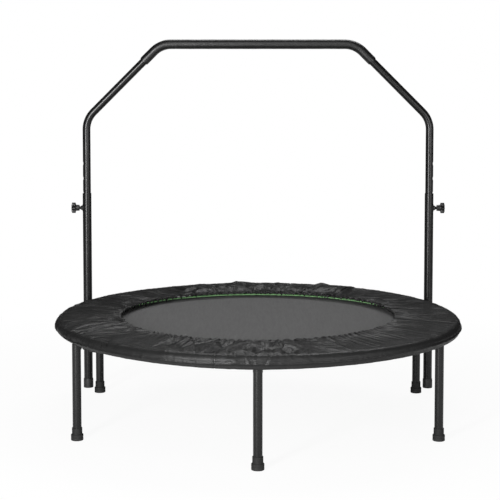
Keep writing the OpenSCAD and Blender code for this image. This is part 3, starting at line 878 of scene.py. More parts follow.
# %% Tree for stitches
def stitch_tree():
    tree, given = new_tree("stitch_row", {"Pitch": "Float", "Stitch size": "Vector"})
    line = add_node(tree, "GeometryNodeMeshToCurve", {0: given["Geometry"]})
    feeds = {"Curve": line.outputs[0], "Length": given["Pitch"]}
    spaced = add_node(tree, "GeometryNodeResampleCurve", feeds, mode="LENGTH")
    bead = add_node(tree, "GeometryNodeMeshUVSphere", {"Segments": 6, "Rings": 4, "Radius": 0.5})
    feeds = {"Geometry": bead.outputs["Mesh"], "Scale": given["Stitch size"]}
    sized = add_node(tree, "GeometryNodeTransform", feeds)
    tangent = add_node(tree, "GeometryNodeInputTangent").outputs[0]
    turn = add_node(tree, "FunctionNodeAlignRotationToVector", {"Vector": tangent}, axis="X")
    feeds = {"Points": spaced.outputs[0], "Instance": sized.outputs[0], "Rotation": turn.outputs[0]}
    placed = add_node(tree, "GeometryNodeInstanceOnPoints", feeds)
    return end_tree(tree, given, placed.outputs[0])


STITCH = stitch_tree()


def stitches(name, paths, pitch, length, thread, finish, closed=False):
    inputs = {"Pitch": pitch, "Stitch size": (length, thread, thread), "Finish": finish}
    return run_tree(name, STITCH, path_object(paths, closed), inputs)


print("tree:", STITCH.name)

# %% [markdown]
# ### Fasteners on points
#
# Screws, bolts and nuts are bought by the bag, so one model serves for all of a kind. Each point carries the
# direction that its fastener faces as an attribute, and the tree puts a turned copy of the model there.


# %% Tree for fasteners
def fastener_tree():
    tree, given = new_tree("fasteners", {"Model": "Object"})
    model = add_node(tree, "GeometryNodeObjectInfo", {"Object": given["Model"]}).outputs["Geometry"]
    facing = add_node(tree, "GeometryNodeInputNamedAttribute", {"Name": "facing"}, data_type="FLOAT_VECTOR")
    feeds = {"Vector": facing.outputs["Attribute"]}
    turn = add_node(tree, "FunctionNodeAlignRotationToVector", feeds, axis="Z")
    feeds = {"Points": given["Geometry"], "Instance": model, "Rotation": turn.outputs[0]}
    placed = add_node(tree, "GeometryNodeInstanceOnPoints", feeds)
    return end_tree(tree, given, placed.outputs[0])


FASTENERS = fastener_tree()


def fasteners(name, model, places, body, node):
    """A copy of a model, made along Z, on each (point, facing) place, dressed in zinc."""
    source = mesh_object("places", [p for p, _ in places], [])
    facing = source.data.attributes.new("facing", "FLOAT_VECTOR", "POINT")
    facing.data.foreach_set("vector", np.array([f for _, f in places], np.float32).ravel())
    made = run_tree(name, FASTENERS, source, {"Model": model, "Finish": ZINC})
    smooth(made, 35)
    dress(made, ZINC, body, [node])


print("tree:", FASTENERS.name)

# %% [markdown]
# ## Screws, bolts and nuts
#
# Screws have a domed head with a cross recess, pressed into the rings of the head. A boolean cut would be
# sharper, but the head is about 10 mm wide and the rings are enough. Bolts and nuts are six-sided bars with
# their corners turned off by a cone, as on real ones, and bolts get a true thread.


# %% Models of the fasteners
def model_object(name, shape):
    made = mesh_object(name, *shape)
    merge(made)
    return made


def screw_model(head_radius, head_height, shank_radius, length):
    """Pan-head screw whose seat is at zero, with its head towards +Z."""
    rows, sides = 14, 48
    recess_arm = 0.16 * head_radius
    recess_reach = 0.58 * head_radius
    recess_depth = 0.55 * head_height
    angles = [a + math.pi / sides for a in full_turn(sides)]
    rings = []
    for i in range(rows):
        across = head_radius * (i + 0.5) / rows
        dome = head_height * (1 - 0.35 * (across / head_radius) ** 4)
        ring = []
        for x, y, z in ring_of(angles, across, dome):
            pressed = min(abs(x), abs(y)) < recess_arm and across < recess_reach
            ring.append((x, y, z - recess_depth if pressed else z))
        rings.append(ring)
    stem = rounded([
        (head_radius, 0.4 * head_height, 0),
        (head_radius, 0, 0.0002),
        (shank_radius, 0, 0.0002),
        (shank_radius, -length + shank_radius / 2, 0.0003),
        (shank_radius * 0.6, -length, 0),
        (0, -length, 0),
    ])
    points, faces = lofted(rings + [ring_of(angles, across, along) for across, along in stem])
    return model_object("screw_model", (points, faces + [range(sides)]))


def hexagon(across, height, bore):
    """Points and faces of a hexagon bar along Z with its corners turned off at the top."""
    sixth = math.pi / 3
    flat = across / 2 * math.cos(sixth / 2)
    drop = 0.5 * (across / 2 - flat)
    levels = (
        (0, bore),
        (0, across),
        (height - 2 * drop, across),
        (height - drop, across / 2 - drop),
        (height, flat * 0.96),
        (height, bore),
    )
    rings = []
    for z, limit in levels:
        ring = []
        for a in full_turn(36):
            from_flat = (a + sixth / 2) % sixth - sixth / 2
            ring.append(polar(a, min(flat / math.cos(from_flat), limit), z))
        rings.append(ring)
    return lofted(rings)


def joined(shape, other):
    """Two (points, faces) shapes as one."""
    points, faces = shape
    more, walls = other
    return points + more, faces + [[len(points) + v for v in wall] for wall in walls]


print("a nut has", len(hexagon(0.015, 0.0065, 0.004)[1]), "faces")

# %% [markdown]
# ### Screws in their places
#
# Six screws hold the ring's arcs together from below, six hold the legs on their spigots from the inside, and
# two hold the handle's joints from the rear. Their places follow the solids: each list pairs the middle of a
# screw's seat with the direction that its head faces.

# %% Place the screws
small_head_radius = 0.0045
screw_head_height = 0.003
small_screw = screw_model(small_head_radius, screw_head_height, 0.0025, 0.010)
leg_screw = screw_model(0.0055, screw_head_height, 0.003, 0.010)

past_joint = 0.020
arc_screw_turn = math.radians(30) + past_joint / ring_radius
arc_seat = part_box("arc_screws")[0].z + screw_head_height
arc_places = [(polar(a + arc_screw_turn, ring_radius, arc_seat), (0, 0, -1)) for a in LEG_ANGLES]

leg_seat = ring_radius - leg_radius
leg_screw_height = middle("leg_screws").z
leg_places = [(polar(a, leg_seat, leg_screw_height), polar(a, -1, 0)) for a in LEG_ANGLES]

joint_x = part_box("handle_joint_screws")[1].x - small_head_radius
joint_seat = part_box("handle_joint_screws")[1].y - screw_head_height
joint_z = middle("handle_joint_screws").z
joint_places = [((outward * joint_x, joint_seat, joint_z), (0, 1, 0)) for _, outward in SIDES]

fasteners("arc_pan_screws", small_screw, arc_places, "frame", "arc_screws")
fasteners("leg_pan_screws", leg_screw, leg_places, "frame", "leg_screws")
fasteners("handle_pan_screws", small_screw, joint_places, "handle", "handle_joint_screws")
for model in (small_screw, leg_screw):
    bpy.data.objects.remove(model)
print("screws:", len(arc_places), len(leg_places), len(joint_places))

# %% [markdown]
# ### Bolts and nuts in their places
#
# Two bolts on each side carry the post on the rear side leg. The head sits on the outside of the post, the
# nut on the inside of the leg, each on its saddle washer, and the thread goes through both tubes. Head and
# thread are one model, so that a bolt can't come apart.

# %% Place the bolts and nuts
bolt_radius = 0.004
bolt_pitch = 0.00125
bolt_overhang = 0.003
hex_across = 0.015
head_height = 0.0055
nut_height = 0.0065
centre_dimple = 0.0005
washer_step = 0.0021
BOLT_HEIGHTS = [0.141, 0.205]
POST_TURNS = (math.radians(30), math.pi - math.radians(30))
head_at = math.hypot(post_x, post_y) + post_radius + washer_step
nut_at = ring_radius - leg_radius - washer_step
shank = head_at - nut_at + nut_height + bolt_overhang
rod_points, rod_faces = threaded_rod(bolt_radius, shank, bolt_pitch, 5, 20)
rod = ([(x, y, z - shank) for x, y, z in rod_points], rod_faces)
bolt_model = model_object("bolt_model", joined(hexagon(hex_across, head_height, centre_dimple), rod))
nut_model = model_object("nut_model", hexagon(hex_across, nut_height, bolt_radius))
rays = [(turn, height) for turn in POST_TURNS for height in BOLT_HEIGHTS]
bolt_places = [(polar(t, head_at, h), polar(t, 1, 0)) for t, h in rays]
nut_places = [(polar(t, nut_at, h), polar(t, -1, 0)) for t, h in rays]
fasteners("hexagon_bolts", bolt_model, bolt_places, "frame", "post_bolts")
fasteners("hexagon_nuts", nut_model, nut_places, "frame", "post_nuts")
for model in (bolt_model, nut_model):
    bpy.data.objects.remove(model)
print("bolts and nuts:", len(bolt_places), len(nut_places))

# %% [markdown]
# ## Weld beads
#
# The bosses for the knobs are welded to the posts. A bead of filler runs round each boss where its cone meets
# the tube: a wire along the line of meeting, with the ripples that each dip of the rod leaves.

# %% Weld beads
weld_reach = 0.0098
weld_thickness = 0.0013
weld_dips = 24


def boss_weld(outward):
    bead = []
    for a in full_turn(96):
        ripple = 1 + 0.03 * math.sin(weld_dips * a) + 0.02 * math.sin(5 * a + 1)
        y, z, _ = polar(a, weld_reach * ripple, 0)
        x = math.sqrt(post_radius**2 - y**2)
        bead.append((outward * (post_x + x), post_y + y, knob_height + z))
    return bead


for side, outward in SIDES:
    bead = wire(f"{side}_boss_weld", [boss_weld(outward)], weld_thickness, COAT, 8, True)
    dress(bead, COAT, "frame", [])
print("two weld beads")

# %% [markdown]
# ## Foam grip
#
# The grip is a foam tube pushed over the bar and its bends. It is swept along the bar's line: outside, round
# the soft ends and back along the inside. The outside swells a little unevenly, as foam does. A curve with a
# bevel could follow the bar too, but it would have no inside and no soft ends.

# %% Foam grip
bar_half_width = 0.312
bend_radius = 0.080
foam_reach = 0.078
foam_radius = size("foam_grip").y / 2
bar_radius = size("top_bar").y / 2
bar_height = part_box("foam_grip")[1].z - foam_radius
slant = math.radians(45)


def bar_line(step):
    """Points along the bar from the left end of the grip to the right end, with the turn at each."""
    tangent = bend_radius * math.tan(slant / 2)
    end, bend, top = foam_reach - tangent, bend_radius * slant, 2 * (bar_half_width - tangent)
    heading = slant
    x = -bar_half_width - foam_reach * math.cos(slant)
    z = bar_height - foam_reach * math.sin(slant)
    line = [(x, z, heading)]
    for run, turn in ((end, 0.0), (bend, -slant), (top, 0.0), (bend, -slant), (end, 0.0)):
        count = max(2, int(round(run / step)))
        for _ in range(count):
            heading += turn / count / 2
            x += run / count * math.cos(heading)
            z += run / count * math.sin(heading)
            heading += turn / count / 2
            line.append((x, z, heading))
    return line


def foam_ring(spot, radius, swell=0.0):
    """A ring round a spot of the bar's line, swollen by waves that share no period."""
    x, z, heading = spot
    ring = []
    for a in full_turn(40):
        wobble = math.sin(3 * a + 37 * x + 11 * z) + math.sin(2 * a - 91 * x)
        wobble += 0.7 * math.sin(5 * a + 210 * x)
        r = radius + swell * wobble
        up = r * math.cos(a)
        ring.append((x - up * math.sin(heading), post_y + r * math.sin(a), z + up * math.cos(heading)))
    return ring


grip_line = bar_line(0.004)
foam_inside = bar_radius + 0.0001
foam_outside = foam_radius - 0.0002
foam_swell = 0.00007
foam_edge = 0.0016
end_radii = (foam_inside, foam_radius - foam_edge, foam_radius - 0.6 * foam_edge)
rings = [foam_ring(grip_line[0], radius) for radius in end_radii]
rings += [foam_ring(spot, foam_outside, foam_swell) for spot in grip_line[1:-1]]
rings += [foam_ring(grip_line[-1], radius) for radius in end_radii[::-1]]
rings += [foam_ring(spot, foam_inside) for spot in grip_line[-2:0:-1]]
shape = lofted(rings + rings[:1])
grip = add_piece("soft_foam_grip", shape, FOAM, "handle", ["foam_grip"], angle=70)
print("foam grip of", len(grip.data.polygons), "faces")

# %% [markdown]
# ## Jump mat
#
# The mat is one disc of woven cloth, pulled tight by the springs. Between two springs the edge draws in a
# little, so the rim is gently scalloped. It is a row of rings with the thickness of the cloth, out along the
# top and back along the underside: a flat disc has no folds that would call for a cloth run.

# %% Jump mat
spring_count = 36
SPRING_ANGLES = [math.radians(-90 + 5 + 10 * i) for i in range(spring_count)]
scallop = 0.0018


def edge_pull(angle):
    """How far the edge draws in at an angle: nothing at a spring, most between two springs."""
    return scallop * 0.5 * (1 - math.cos(spring_count * (angle - SPRING_ANGLES[0])))


def mat_side(level, count=18, sides=288):
    """Rings of one side of the mat, from its middle to its edge."""
    rings = [[(0, 0, level)]]
    for i in range(1, count + 1):
        share = (i / count) ** 0.8
        pulled = share**6
        radii = [mat_radius * share - edge_pull(a) * pulled for a in full_turn(sides)]
        rings.append([polar(a, r, level) for a, r in zip(full_turn(sides), radii)])
    return rings


shape = lofted(mat_side(mat_top) + mat_side(mat_bottom)[::-1])
mat_piece = add_piece("woven_jump_mat", shape, MAT_CLOTH, "mat", ["jump_mat"], angle=50)
print("mat of", len(mat_piece.data.polygons), "faces")

# %% [markdown]
# ## Edge tape, loops and rings
#
# Tapes and straps are strips of webbing, with ribs that follow each strip wherever it goes. A texture in
# Object coordinates would cut across them, so every strip gets a UV map in metres. Strips are made as thin
# sheets and then get their thickness.


# %% Strips with their own UV
def grid_faces(rows, around, closed=False, first=0):
    """Faces of a grid of rows, each of around points, which may be closed round the turn."""
    faces = []
    for i in range(rows - 1):
        start = first + i * around
        for k in range(around if closed else around - 1):
            here, ahead = start + k, start + (k + 1) % around
            faces.append((here, here + around, ahead + around, ahead))
    return faces


def add_strip(name, points, faces, coordinates):
    """A smooth sheet whose UV map has one coordinate, in metres, for each point."""
    made = mesh_object(name, points, faces)
    layer = made.data.uv_layers.new(name="UVMap")
    index = np.zeros(len(made.data.loops), int)
    made.data.loops.foreach_get("vertex_index", index)
    layer.data.foreach_set("uv", np.asarray(coordinates, float)[index].ravel())
    made.data.shade_smooth()
    return made


def thicken(made, thickness):
    """Gives a sheet its thickness, half to each side."""
    wall = made.modifiers.new("thickness", "SOLIDIFY")
    wall.thickness = thickness
    wall.offset = 0
    old = made.data
    made.data = evaluated_mesh(made)
    made.modifiers.remove(wall)
    bpy.data.meshes.remove(old)


def distances(line):
    """How far along a line each of its points lies."""
    steps = [math.dist(a, b) for a, b in zip(line, line[1:])]
    return [sum(steps[:i]) for i in range(len(line))]


print("a grid of 3 by 4 points has", len(grid_faces(3, 4)), "faces")

# %% [markdown]
# ### Edge tape
#
# A green tape is sewn over the mat's edge with rows of zigzag stitches. Its inner edge is folded into a bead
# that stands up from the mat. The tape is one section taken round the mat, and the stitches are one wire that
# steps in and out.

# %% Edge tape
tape_inner_edge = 0.458
tape_width = mat_radius - tape_inner_edge
tape_sides = 720
fold_radius = 0.0016
fold_sink = 0.0003
tape_level = (mat_top + webbing_top) / 2
FOLD_ANGLES = [math.radians(-30 + 30 * i) for i in range(8)]
fold = [(1 - math.cos(a), 1 + math.sin(a)) for a in FOLD_ANGLES]
TAPE_LINE = [(fold_radius * x, fold_radius * z - fold_sink) for x, z in fold]
TAPE_LINE += [(0.006, 0.0003), (0.012, 0), (0.019, 0), (0.026, 0), (tape_width, 0)]


def tape_radius(across, angle):
    return mat_radius - tape_width + across - edge_pull(angle) * across / tape_width


tape_angles = full_turn(tape_sides) + [2 * math.pi]
points = [polar(a, tape_radius(across, a), tape_level + up) for across, up in TAPE_LINE for a in tape_angles]
coordinates = [(s, a * mat_radius) for s in distances(TAPE_LINE) for a in tape_angles]
faces = grid_faces(len(TAPE_LINE), len(tape_angles))
edge_tape = add_strip("green_edge_tape", points, faces, coordinates)
thicken(edge_tape, webbing_top - mat_top)
dress(edge_tape, PAINTED_LIGHT_EDGE_TAPE, "mat", ["mat_edge_webbing"])

zigzag_height = webbing_top + 0.0002
ZIGZAG = (-0.0012, 0.0012)
zigzag_thread = 0.0003
zigzag_rows = []
for share in (0.3, 0.58, 0.86):
    steps = enumerate(full_turn(2 * tape_sides))
    row = [polar(a, tape_radius(tape_width * share, a) + ZIGZAG[k % 2], zigzag_height) for k, a in steps]
    zigzag_rows.append(row)
tape_stitches = wire("edge_tape_stitches", zigzag_rows, zigzag_thread, GREEN_THREAD, 4, True)
dress(tape_stitches, GREEN_THREAD, "mat", [])
print("edge tape with", len(zigzag_rows), "zigzag rows")

# %% [markdown]
# ### Strap loops
#
# Under the tape, short straps fold round the steel rings that the springs pull. Each strap is one line, out
# under the mat, round the ring and back over it, given a width, and a box of stitches with a diagonal holds
# its tail.

# %% Strap loops
loop_tail = mat_radius - 0.024
strap_width = 0.014
strap_thickness = 0.0014
strap_gap = 0.0002
ring_wire = 0.0015
eye_at = 0.4955
eye_radius = ring_wire + 0.0003 + strap_thickness / 2
STRAP_SHARES = [k / 4 - 0.5 for k in range(5)]


def beside(angle, radius, side, height):
    """The point at an angle and a distance about Z, moved to the side."""
    x = radius * math.cos(angle) - side * math.sin(angle)
    y = radius * math.sin(angle) + side * math.cos(angle)
    return (x, y, height)


def strap_line():
    """(distance from the middle, height) along a strap: tail under the mat, round the ring, back over it."""
    under = mat_bottom - strap_thickness / 2 - strap_gap
    line = [(loop_tail + (eye_at - 0.002 - loop_tail) * i / 6, under) for i in range(7)]
    fold_start, fold_sweep, fold_steps = -115, 245, 12
    for i in range(fold_steps + 1):
        a = math.radians(fold_start + fold_sweep * i / fold_steps)
        line.append((eye_at + eye_radius * math.cos(a), ring_height + eye_radius * math.sin(a)))
    line.append((mat_radius + 0.0004, mat_top + strap_thickness / 2))
    return line


strap = strap_line()
across_strap = [strap_width * share for share in STRAP_SHARES]
points, coordinates, faces = [], [], []
for angle in SPRING_ANGLES:
    faces += grid_faces(len(strap), len(across_strap), first=len(points))
    points += [beside(angle, r, side, z) for r, z in strap for side in across_strap]
    coordinates += [(side, s) for s in distances(strap) for side in across_strap]
straps = add_strip("strap_loops", points, faces, coordinates)
thicken(straps, strap_thickness)
dress(straps, LOOP_TAPE, "mat", ["mat_loops"])

box_start, box_end, box_side = 0.469, 0.487, 0.0055
BOX = [(box_start, -1), (box_end, -1), (box_end, 1), (box_start, 1), (box_start, -1), (box_end, 1)]
stitch_level = mat_bottom - strap_thickness - 2 * strap_gap
box_rows = [[beside(angle, r, s * box_side, stitch_level) for r, s in BOX] for angle in SPRING_ANGLES]
strap_stitches = stitches("strap_box_stitches", box_rows, 0.0026, 0.0021, 0.0006, GREEN_THREAD)
dress(strap_stitches, GREEN_THREAD, "mat", [])
print("straps:", len(SPRING_ANGLES))

# %% [markdown]
# ### Steel rings
#
# A ring in each loop takes the pull of one spring. It is bent from wire to a rectangle with round corners, so
# its line is four quarter circles, and the wire tree makes all of them as one mesh.

# %% Steel rings in the loops
ring_length = 0.018
ring_half = 0.011
ring_corner = 0.003
far_end, wide = ring_length - ring_corner, ring_half - ring_corner
CORNERS = ((far_end, wide, 0), (ring_corner, wide, 90), (ring_corner, -wide, 180), (far_end, -wide, 270))
ring_line = []
for corner_x, corner_y, start in CORNERS:
    for i in range(7):
        x, y, _ = polar(math.radians(start + 15 * i), ring_corner, 0)
        ring_line.append((corner_x + x, corner_y + y))
ring_paths = [[beside(angle, eye_at + x, s, ring_height) for x, s in ring_line] for angle in SPRING_ANGLES]
mat_rings = wire("steel_mat_rings", ring_paths, ring_wire, ZINC, 8, True)
dress(mat_rings, ZINC, "mat", ["mat_rings"])
print("steel rings:", len(ring_paths))

# %% [markdown]
# ## Springs
#
# Each spring is one wire: a loop round the mat ring, a close coil, and a hook that goes through the hole in
# the frame ring and turns down inside it. Its inner end moves with the mat and its outer end stays with the
# frame, so each spring is a piece of its own that stretches between the two.

# %% Springs
spring_wire = 0.001
coil_radius = 0.006
spring_loop_radius = 0.005
spring_loop_at = 0.5157
coil_start = spring_loop_at + spring_loop_radius + 0.001
coil_end = ring_radius - ring_tube_radius - 0.011
hook_end = ring_radius - ring_tube_radius + 0.006
hook_bend = 0.003
hook_tip = 0.004
coil_turns = 19
steps_per_turn = 12


def coil_point(x, step, radius):
    """A point of the coil at a step of its turn, which starts at the top."""
    y, z, _ = polar(math.pi / 2 + 2 * math.pi * step / steps_per_turn, radius, 0)
    return (x, y, z)


def spring_line():
    """Points of the wire along X, from the loop on the mat ring to the hook's tip."""
    line = []
    loop_steps, loop_start, loop_sweep, loop_shift = 19, math.radians(22), 2 * math.pi * 0.94, 0.0004
    for i in range(loop_steps + 1):
        x, z, _ = polar(loop_sweep * i / loop_steps + loop_start, spring_loop_radius, 0)
        line.append((spring_loop_at + x, loop_shift * i / loop_steps, z))
    steps = coil_turns * steps_per_turn
    for i in range(steps + 1):
        grow = min(1.0, 0.4 + i / 10)
        line.append(coil_point(coil_start + (coil_end - coil_start) * i / steps, i, coil_radius * grow))
    for i in range(1, 5):
        line.append(coil_point(coil_end + 0.0006 * i, i, coil_radius * (1 - i / 4)))
    straight = hook_end - hook_bend
    line.append(((coil_end + straight) / 2, 0, 0))
    for i in range(7):
        x, z, _ = polar(math.pi / 2 * (1 - i / 6), hook_bend, 0)
        line.append((straight + x, 0, z - hook_bend))
    line.append((hook_end, 0, -hook_bend - hook_tip))
    return line


spring_model = wire("spring_model", [spring_line()], spring_wire, ZINC, 6)
for i, angle in enumerate(SPRING_ANGLES):
    spring = bpy.data.objects.new(f"spring_{i + 1:02d}", spring_model.data.copy())
    scene.collection.objects.link(spring)
    spring.data.transform(Matrix.Translation((0, 0, ring_height)) @ Matrix.Rotation(angle, 4, "Z"))
    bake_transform(spring)
    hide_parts("springs")
print("springs:", spring_count, "with", len(spring_model.data.polygons), "faces each")
bpy.data.objects.remove(spring_model)

# %% [markdown]
# ## Skirt
#
# The skirt is thin coated cloth, cut wider than the frame needs and drawn in by elastic at both hems, so it
# lies in crumpled folds. Folds like these are hard to draw but easy to grow: a grid of cloth starts in the
# skirt's plain shape, and Blender's Cloth gives its threads more length than the shape has room for.
# Negative shrink is that extra length, and a weight for each point says where there is most of it. The
# springs, the mat and the ring are below as one collision shape, so the folds rise and the cloth rests on
# what is there.

# %% The skirt's plain shape
skirt_around = 1200
skirt_rows = 46
roll_radius = 0.0025
skirt_lift = 0.0152
rear_rise = 0.0055
hem_level = inner_hem_height + roll_radius
turns = np.arange(skirt_around) * 2 * math.pi / skirt_around
to_front = np.clip(-np.sin(turns), 0, 1)
to_rear = np.clip(np.sin(turns), 0, 1)
to_left = np.clip(-np.cos(turns), 0, 1)
to_right = np.clip(np.cos(turns), 0, 1)
front_left = to_front * np.clip(1 - 1.1 * to_right, 0, 1)


def skirt_section(count):
    """Distance from the middle, height and length along the skirt, as rows by turns, from hem to hem."""
    # The flat top, the part that goes over the ring, and how high it lies there.
    flat = ring_radius - inner_hem_radius
    over = skirt_lift * math.pi / 2
    lift = skirt_lift + rear_rise * to_rear
    # The inner hem rises a little at the right rear.
    hem = hem_level + 0.003 * np.exp(-((turns - 0.5) ** 2) / 0.12)
    # The band is shorter and more tucked in at the left and the right than at the front.
    drop = (ring_height - outer_hem_height) * (1 - 0.5 * to_left**1.3 - 0.18 * to_right)
    tuck = 0.0012 + 0.0035 * to_left**2 + 0.0015 * to_right**2
    # The top bulges most at the rear, and nearer to the ring there.
    bulge = 0.003 + 0.011 * to_rear
    peak = 1.3 + 0.7 * to_rear
    radius, height = np.zeros((2, count, skirt_around))
    lengths = np.linspace(0, flat + over + ring_height - outer_hem_height, count)
    for i, s in enumerate(lengths):
        if s <= flat:
            share = s / flat
            radius[i] = inner_hem_radius + s
            height[i] = hem + (ring_height + lift - hem) * share
            height[i] += bulge * np.sin(math.pi * share**peak) ** 2
        elif s <= flat + over:
            a = math.pi / 2 - (s - flat) / skirt_lift
            radius[i] = ring_radius + skirt_lift * math.cos(a)
            height[i] = ring_height + lift * math.sin(a)
        else:
            share = (s - flat - over) / (lengths[-1] - flat - over)
            radius[i] = ring_radius + skirt_lift - tuck * share**2
            height[i] = ring_height - drop * share
    return radius, height, lengths


start_r, start_z, section = skirt_section(skirt_rows)
along = section[:, None]
cloth_length = section[-1]
inner_fade, outer_fade = 0.02, 0.03
inside_edge = np.clip(along / inner_fade, 0, 1)
outside_edge = np.clip((cloth_length - along) / outer_fade, 0, 1)
print("skirt from hem to hem", round(float(cloth_length), 3), "m")

# %% [markdown]
# ### Pleats and ridges
#
# The elastic draws the inner hem into pleats. Their valleys are sharp and their tops round, each has its own
# width, depth and reach, and they lean a little to one side. Larger folds cross the skirt as ridges: the size
# of a smooth noise, without its sign, has a sharp crease wherever the noise changes sign. The cloth run alone
# would make them all alike, so it starts from these.


# %% Pleats and ridges
def soft_noise(rows, around, tall, wide, seed):
    """Smooth random numbers in cells of tall by wide points, the same at both ends of the turn."""
    draw = np.random.default_rng(seed)
    columns = max(3, round(around / wide))
    coarse = draw.normal(0, 1, (int(rows / tall) + 3, columns))
    x = np.arange(around) * columns / around
    y = np.arange(rows) / tall
    left, low = x.astype(int), y.astype(int)
    right = (left + 1) % columns
    ease_x = x - left
    ease_y = (y - low)[:, None]
    ease_x = ease_x**2 * (3 - 2 * ease_x)
    ease_y = ease_y**2 * (3 - 2 * ease_y)
    near = coarse[low][:, left] * (1 - ease_x) + coarse[low][:, right] * ease_x
    far = coarse[low + 1][:, left] * (1 - ease_x) + coarse[low + 1][:, right] * ease_x
    return near * (1 - ease_y) + far * ease_y


def cloth_noise(tall, wide, seed):
    return soft_noise(skirt_rows, skirt_around, tall, wide, seed)


def pleats(width, seed):
    """Heights of the hem's pleats from -0.6 to 0.4 of their depth, as rows by turns."""
    draw = np.random.default_rng(seed)
    round_hem = 2 * math.pi * inner_hem_radius
    usual_reach = 0.030
    gaps = np.clip(draw.normal(width, 0.28 * width, int(round_hem / width)), 0.5 * width, 1.8 * width)
    gaps = gaps * round_hem / gaps.sum()
    valleys = np.concatenate([[0], np.cumsum(gaps)])
    depth = draw.uniform(0.25, 1.0, len(gaps))
    reach = np.exp(draw.normal(math.log(usual_reach), 0.5, len(gaps)))
    lean = 0.5 * soft_noise(1, skirt_around, 1, 60, seed + 1)
    place = (turns * inner_hem_radius + lean * along) % round_hem
    index = np.clip(np.searchsorted(valleys, place, side="right") - 1, 0, len(gaps) - 1)
    share = (place - valleys[index]) / gaps[index]
    ahead = (index + 1) % len(gaps)
    depth = depth[index] * (1 - share) + depth[ahead] * share
    reach = reach[index] * (1 - share) + reach[ahead] * share
    return depth * (np.sin(math.pi * share) ** 0.7 - 0.6) * np.exp(-along / reach)


def ridges(tall, wide, seed):
    """Creased folds about tall by wide points in size, around zero."""
    return 0.75 - np.abs(cloth_noise(tall, wide, seed))


pleat_height, pleat_width = 0.014, 0.0185
hem_pleats = pleat_height * pleats(pleat_width, 51)
big_folds = (0.0003 + 0.0028 * front_left + 0.0016 * to_rear) * ridges(17, 44, 53)
small_folds = (0.0002 + 0.0012 * front_left + 0.0008 * to_rear) * ridges(7, 15, 54)
radial_folds = 0.0013 * (to_left**2 + 0.8 * to_right) * ridges(60, 11, 55)
folds = (big_folds + small_folds + radial_folds) * inside_edge * outside_edge
start_r = start_r + 0.5 * np.roll(hem_pleats, 2, axis=1)
start_z = start_z + hem_pleats + folds
skirt_start = np.stack([start_r * np.cos(turns), start_r * np.sin(turns), start_z], -1)
print("skirt grid", skirt_start.shape)

# %% [markdown]
# ### Spare cloth
#
# A real skirt is not slack everywhere. It is drawn tight at the sides and lies loose at the front left and
# at the rear, in patches. The weight is 1 where the cloth has most to spare, and it fades towards the outer
# hem. Painting weights by hand would do too, but smooth noise can be changed by one number.

# %% Where there is spare cloth
lively = 0.08 + 0.92 * np.maximum(front_left, 0.85 * to_rear)
patches = 0.30 * cloth_noise(34, 50, 31) + 0.2 * cloth_noise(12, 18, 32)
spare = lively * (0.62 + patches)
spare = np.clip(spare, 0, 1) * np.clip(0.35 + outside_edge, 0, 1) * outside_edge
least_spare = -0.004
most_spare = -0.10
print("spare cloth", round(float(spare.mean() * -100 * most_spare), 2), "% on average")

# %% [markdown]
# ### The cloth run
#
# The hems are held where they are sewn, and the cloth between them is free for 24 frames. Sculpting could
# make such folds too, but a run obeys the stiffness of thin cloth by itself and comes out the same each
# time.


# %% Grow the folds
def skirt_support():
    """What the skirt lies on, as one surface: the mat's edge, the springs and the ring."""
    spring_top = ring_height + coil_radius + 2 * spring_wire
    inner_end, slope_end, spring_end, risen_from = 0.395, eye_at + 0.012, 0.572, 0.57
    outline = [(inner_end, webbing_top), (eye_at, webbing_top)]
    outline += [(slope_end, spring_top), (spring_end, spring_top)]
    for a in range(130, -1, -10):
        across, up, _ = polar(math.radians(a), ring_tube_radius, 0)
        outline.append((ring_radius + across, ring_height + up))
    skirt_drop = 0.04
    outline.append((ring_radius + ring_tube_radius, ring_height - skirt_drop))
    outline.reverse()
    points, faces = turned(outline, 180)
    points = np.array(points)
    across = np.hypot(points[:, 0], points[:, 1])
    points[:, 2] += rear_rise * np.clip(points[:, 1] / across, 0, 1) * (across > risen_from)
    made = mesh_object("skirt_support", points, faces)
    made.modifiers.new("collision", "COLLISION")
    made.collision.thickness_outer = 0.001
    made.collision.damping = 0.6
    made.collision.cloth_friction = 8
    return made


CLOTH_SETTINGS = {
    "quality": 4,
    "mass": 0.0005,
    "tension_stiffness": 6,
    "compression_stiffness": 6,
    "shear_stiffness": 2,
    "bending_stiffness": 0.0008,
    "bending_damping": 0.1,
    "air_damping": 2,
    "vertex_group_mass": "sewn",
    "vertex_group_shrink": "slack",
    "shrink_min": most_spare,
    "shrink_max": least_spare,
}


def grow_folds(frames):
    """Runs the cloth from its plain shape and gives the folded grid."""
    faces = grid_faces(skirt_rows, skirt_around, closed=True)
    made = mesh_object("skirt_cloth_run", skirt_start.reshape(-1, 3), faces)
    sewn = made.vertex_groups.new(name="sewn")
    slack = made.vertex_groups.new(name="slack")
    outer_rows = 3
    sewn.add(list(range(skirt_around)), 1.0, "REPLACE")
    sewn.add(list(range((skirt_rows - outer_rows) * skirt_around, skirt_rows * skirt_around)), 1.0, "REPLACE")
    for index, weight in enumerate(spare.ravel()):
        slack.add([index], 1 - float(weight), "REPLACE")
    support = skirt_support()
    cloth = made.modifiers.new("cloth", "CLOTH")
    for name, value in CLOTH_SETTINGS.items():
        setattr(cloth.settings, name, value)
    cloth.settings.effector_weights.gravity = 0.15
    cloth.collision_settings.distance_min = 0.001
    cloth.collision_settings.use_self_collision = False
    cloth.point_cache.frame_end = frames
    for step in range(1, frames + 1):
        scene.frame_set(step)
    ready = made.evaluated_get(bpy.context.evaluated_depsgraph_get())
    grown = np.zeros(skirt_rows * skirt_around * 3)
    ready.data.vertices.foreach_get("co", grown)
    for helper in (made, support):
        bpy.data.objects.remove(helper)
    scene.frame_set(1)
    return grown.reshape(skirt_rows, skirt_around, 3)


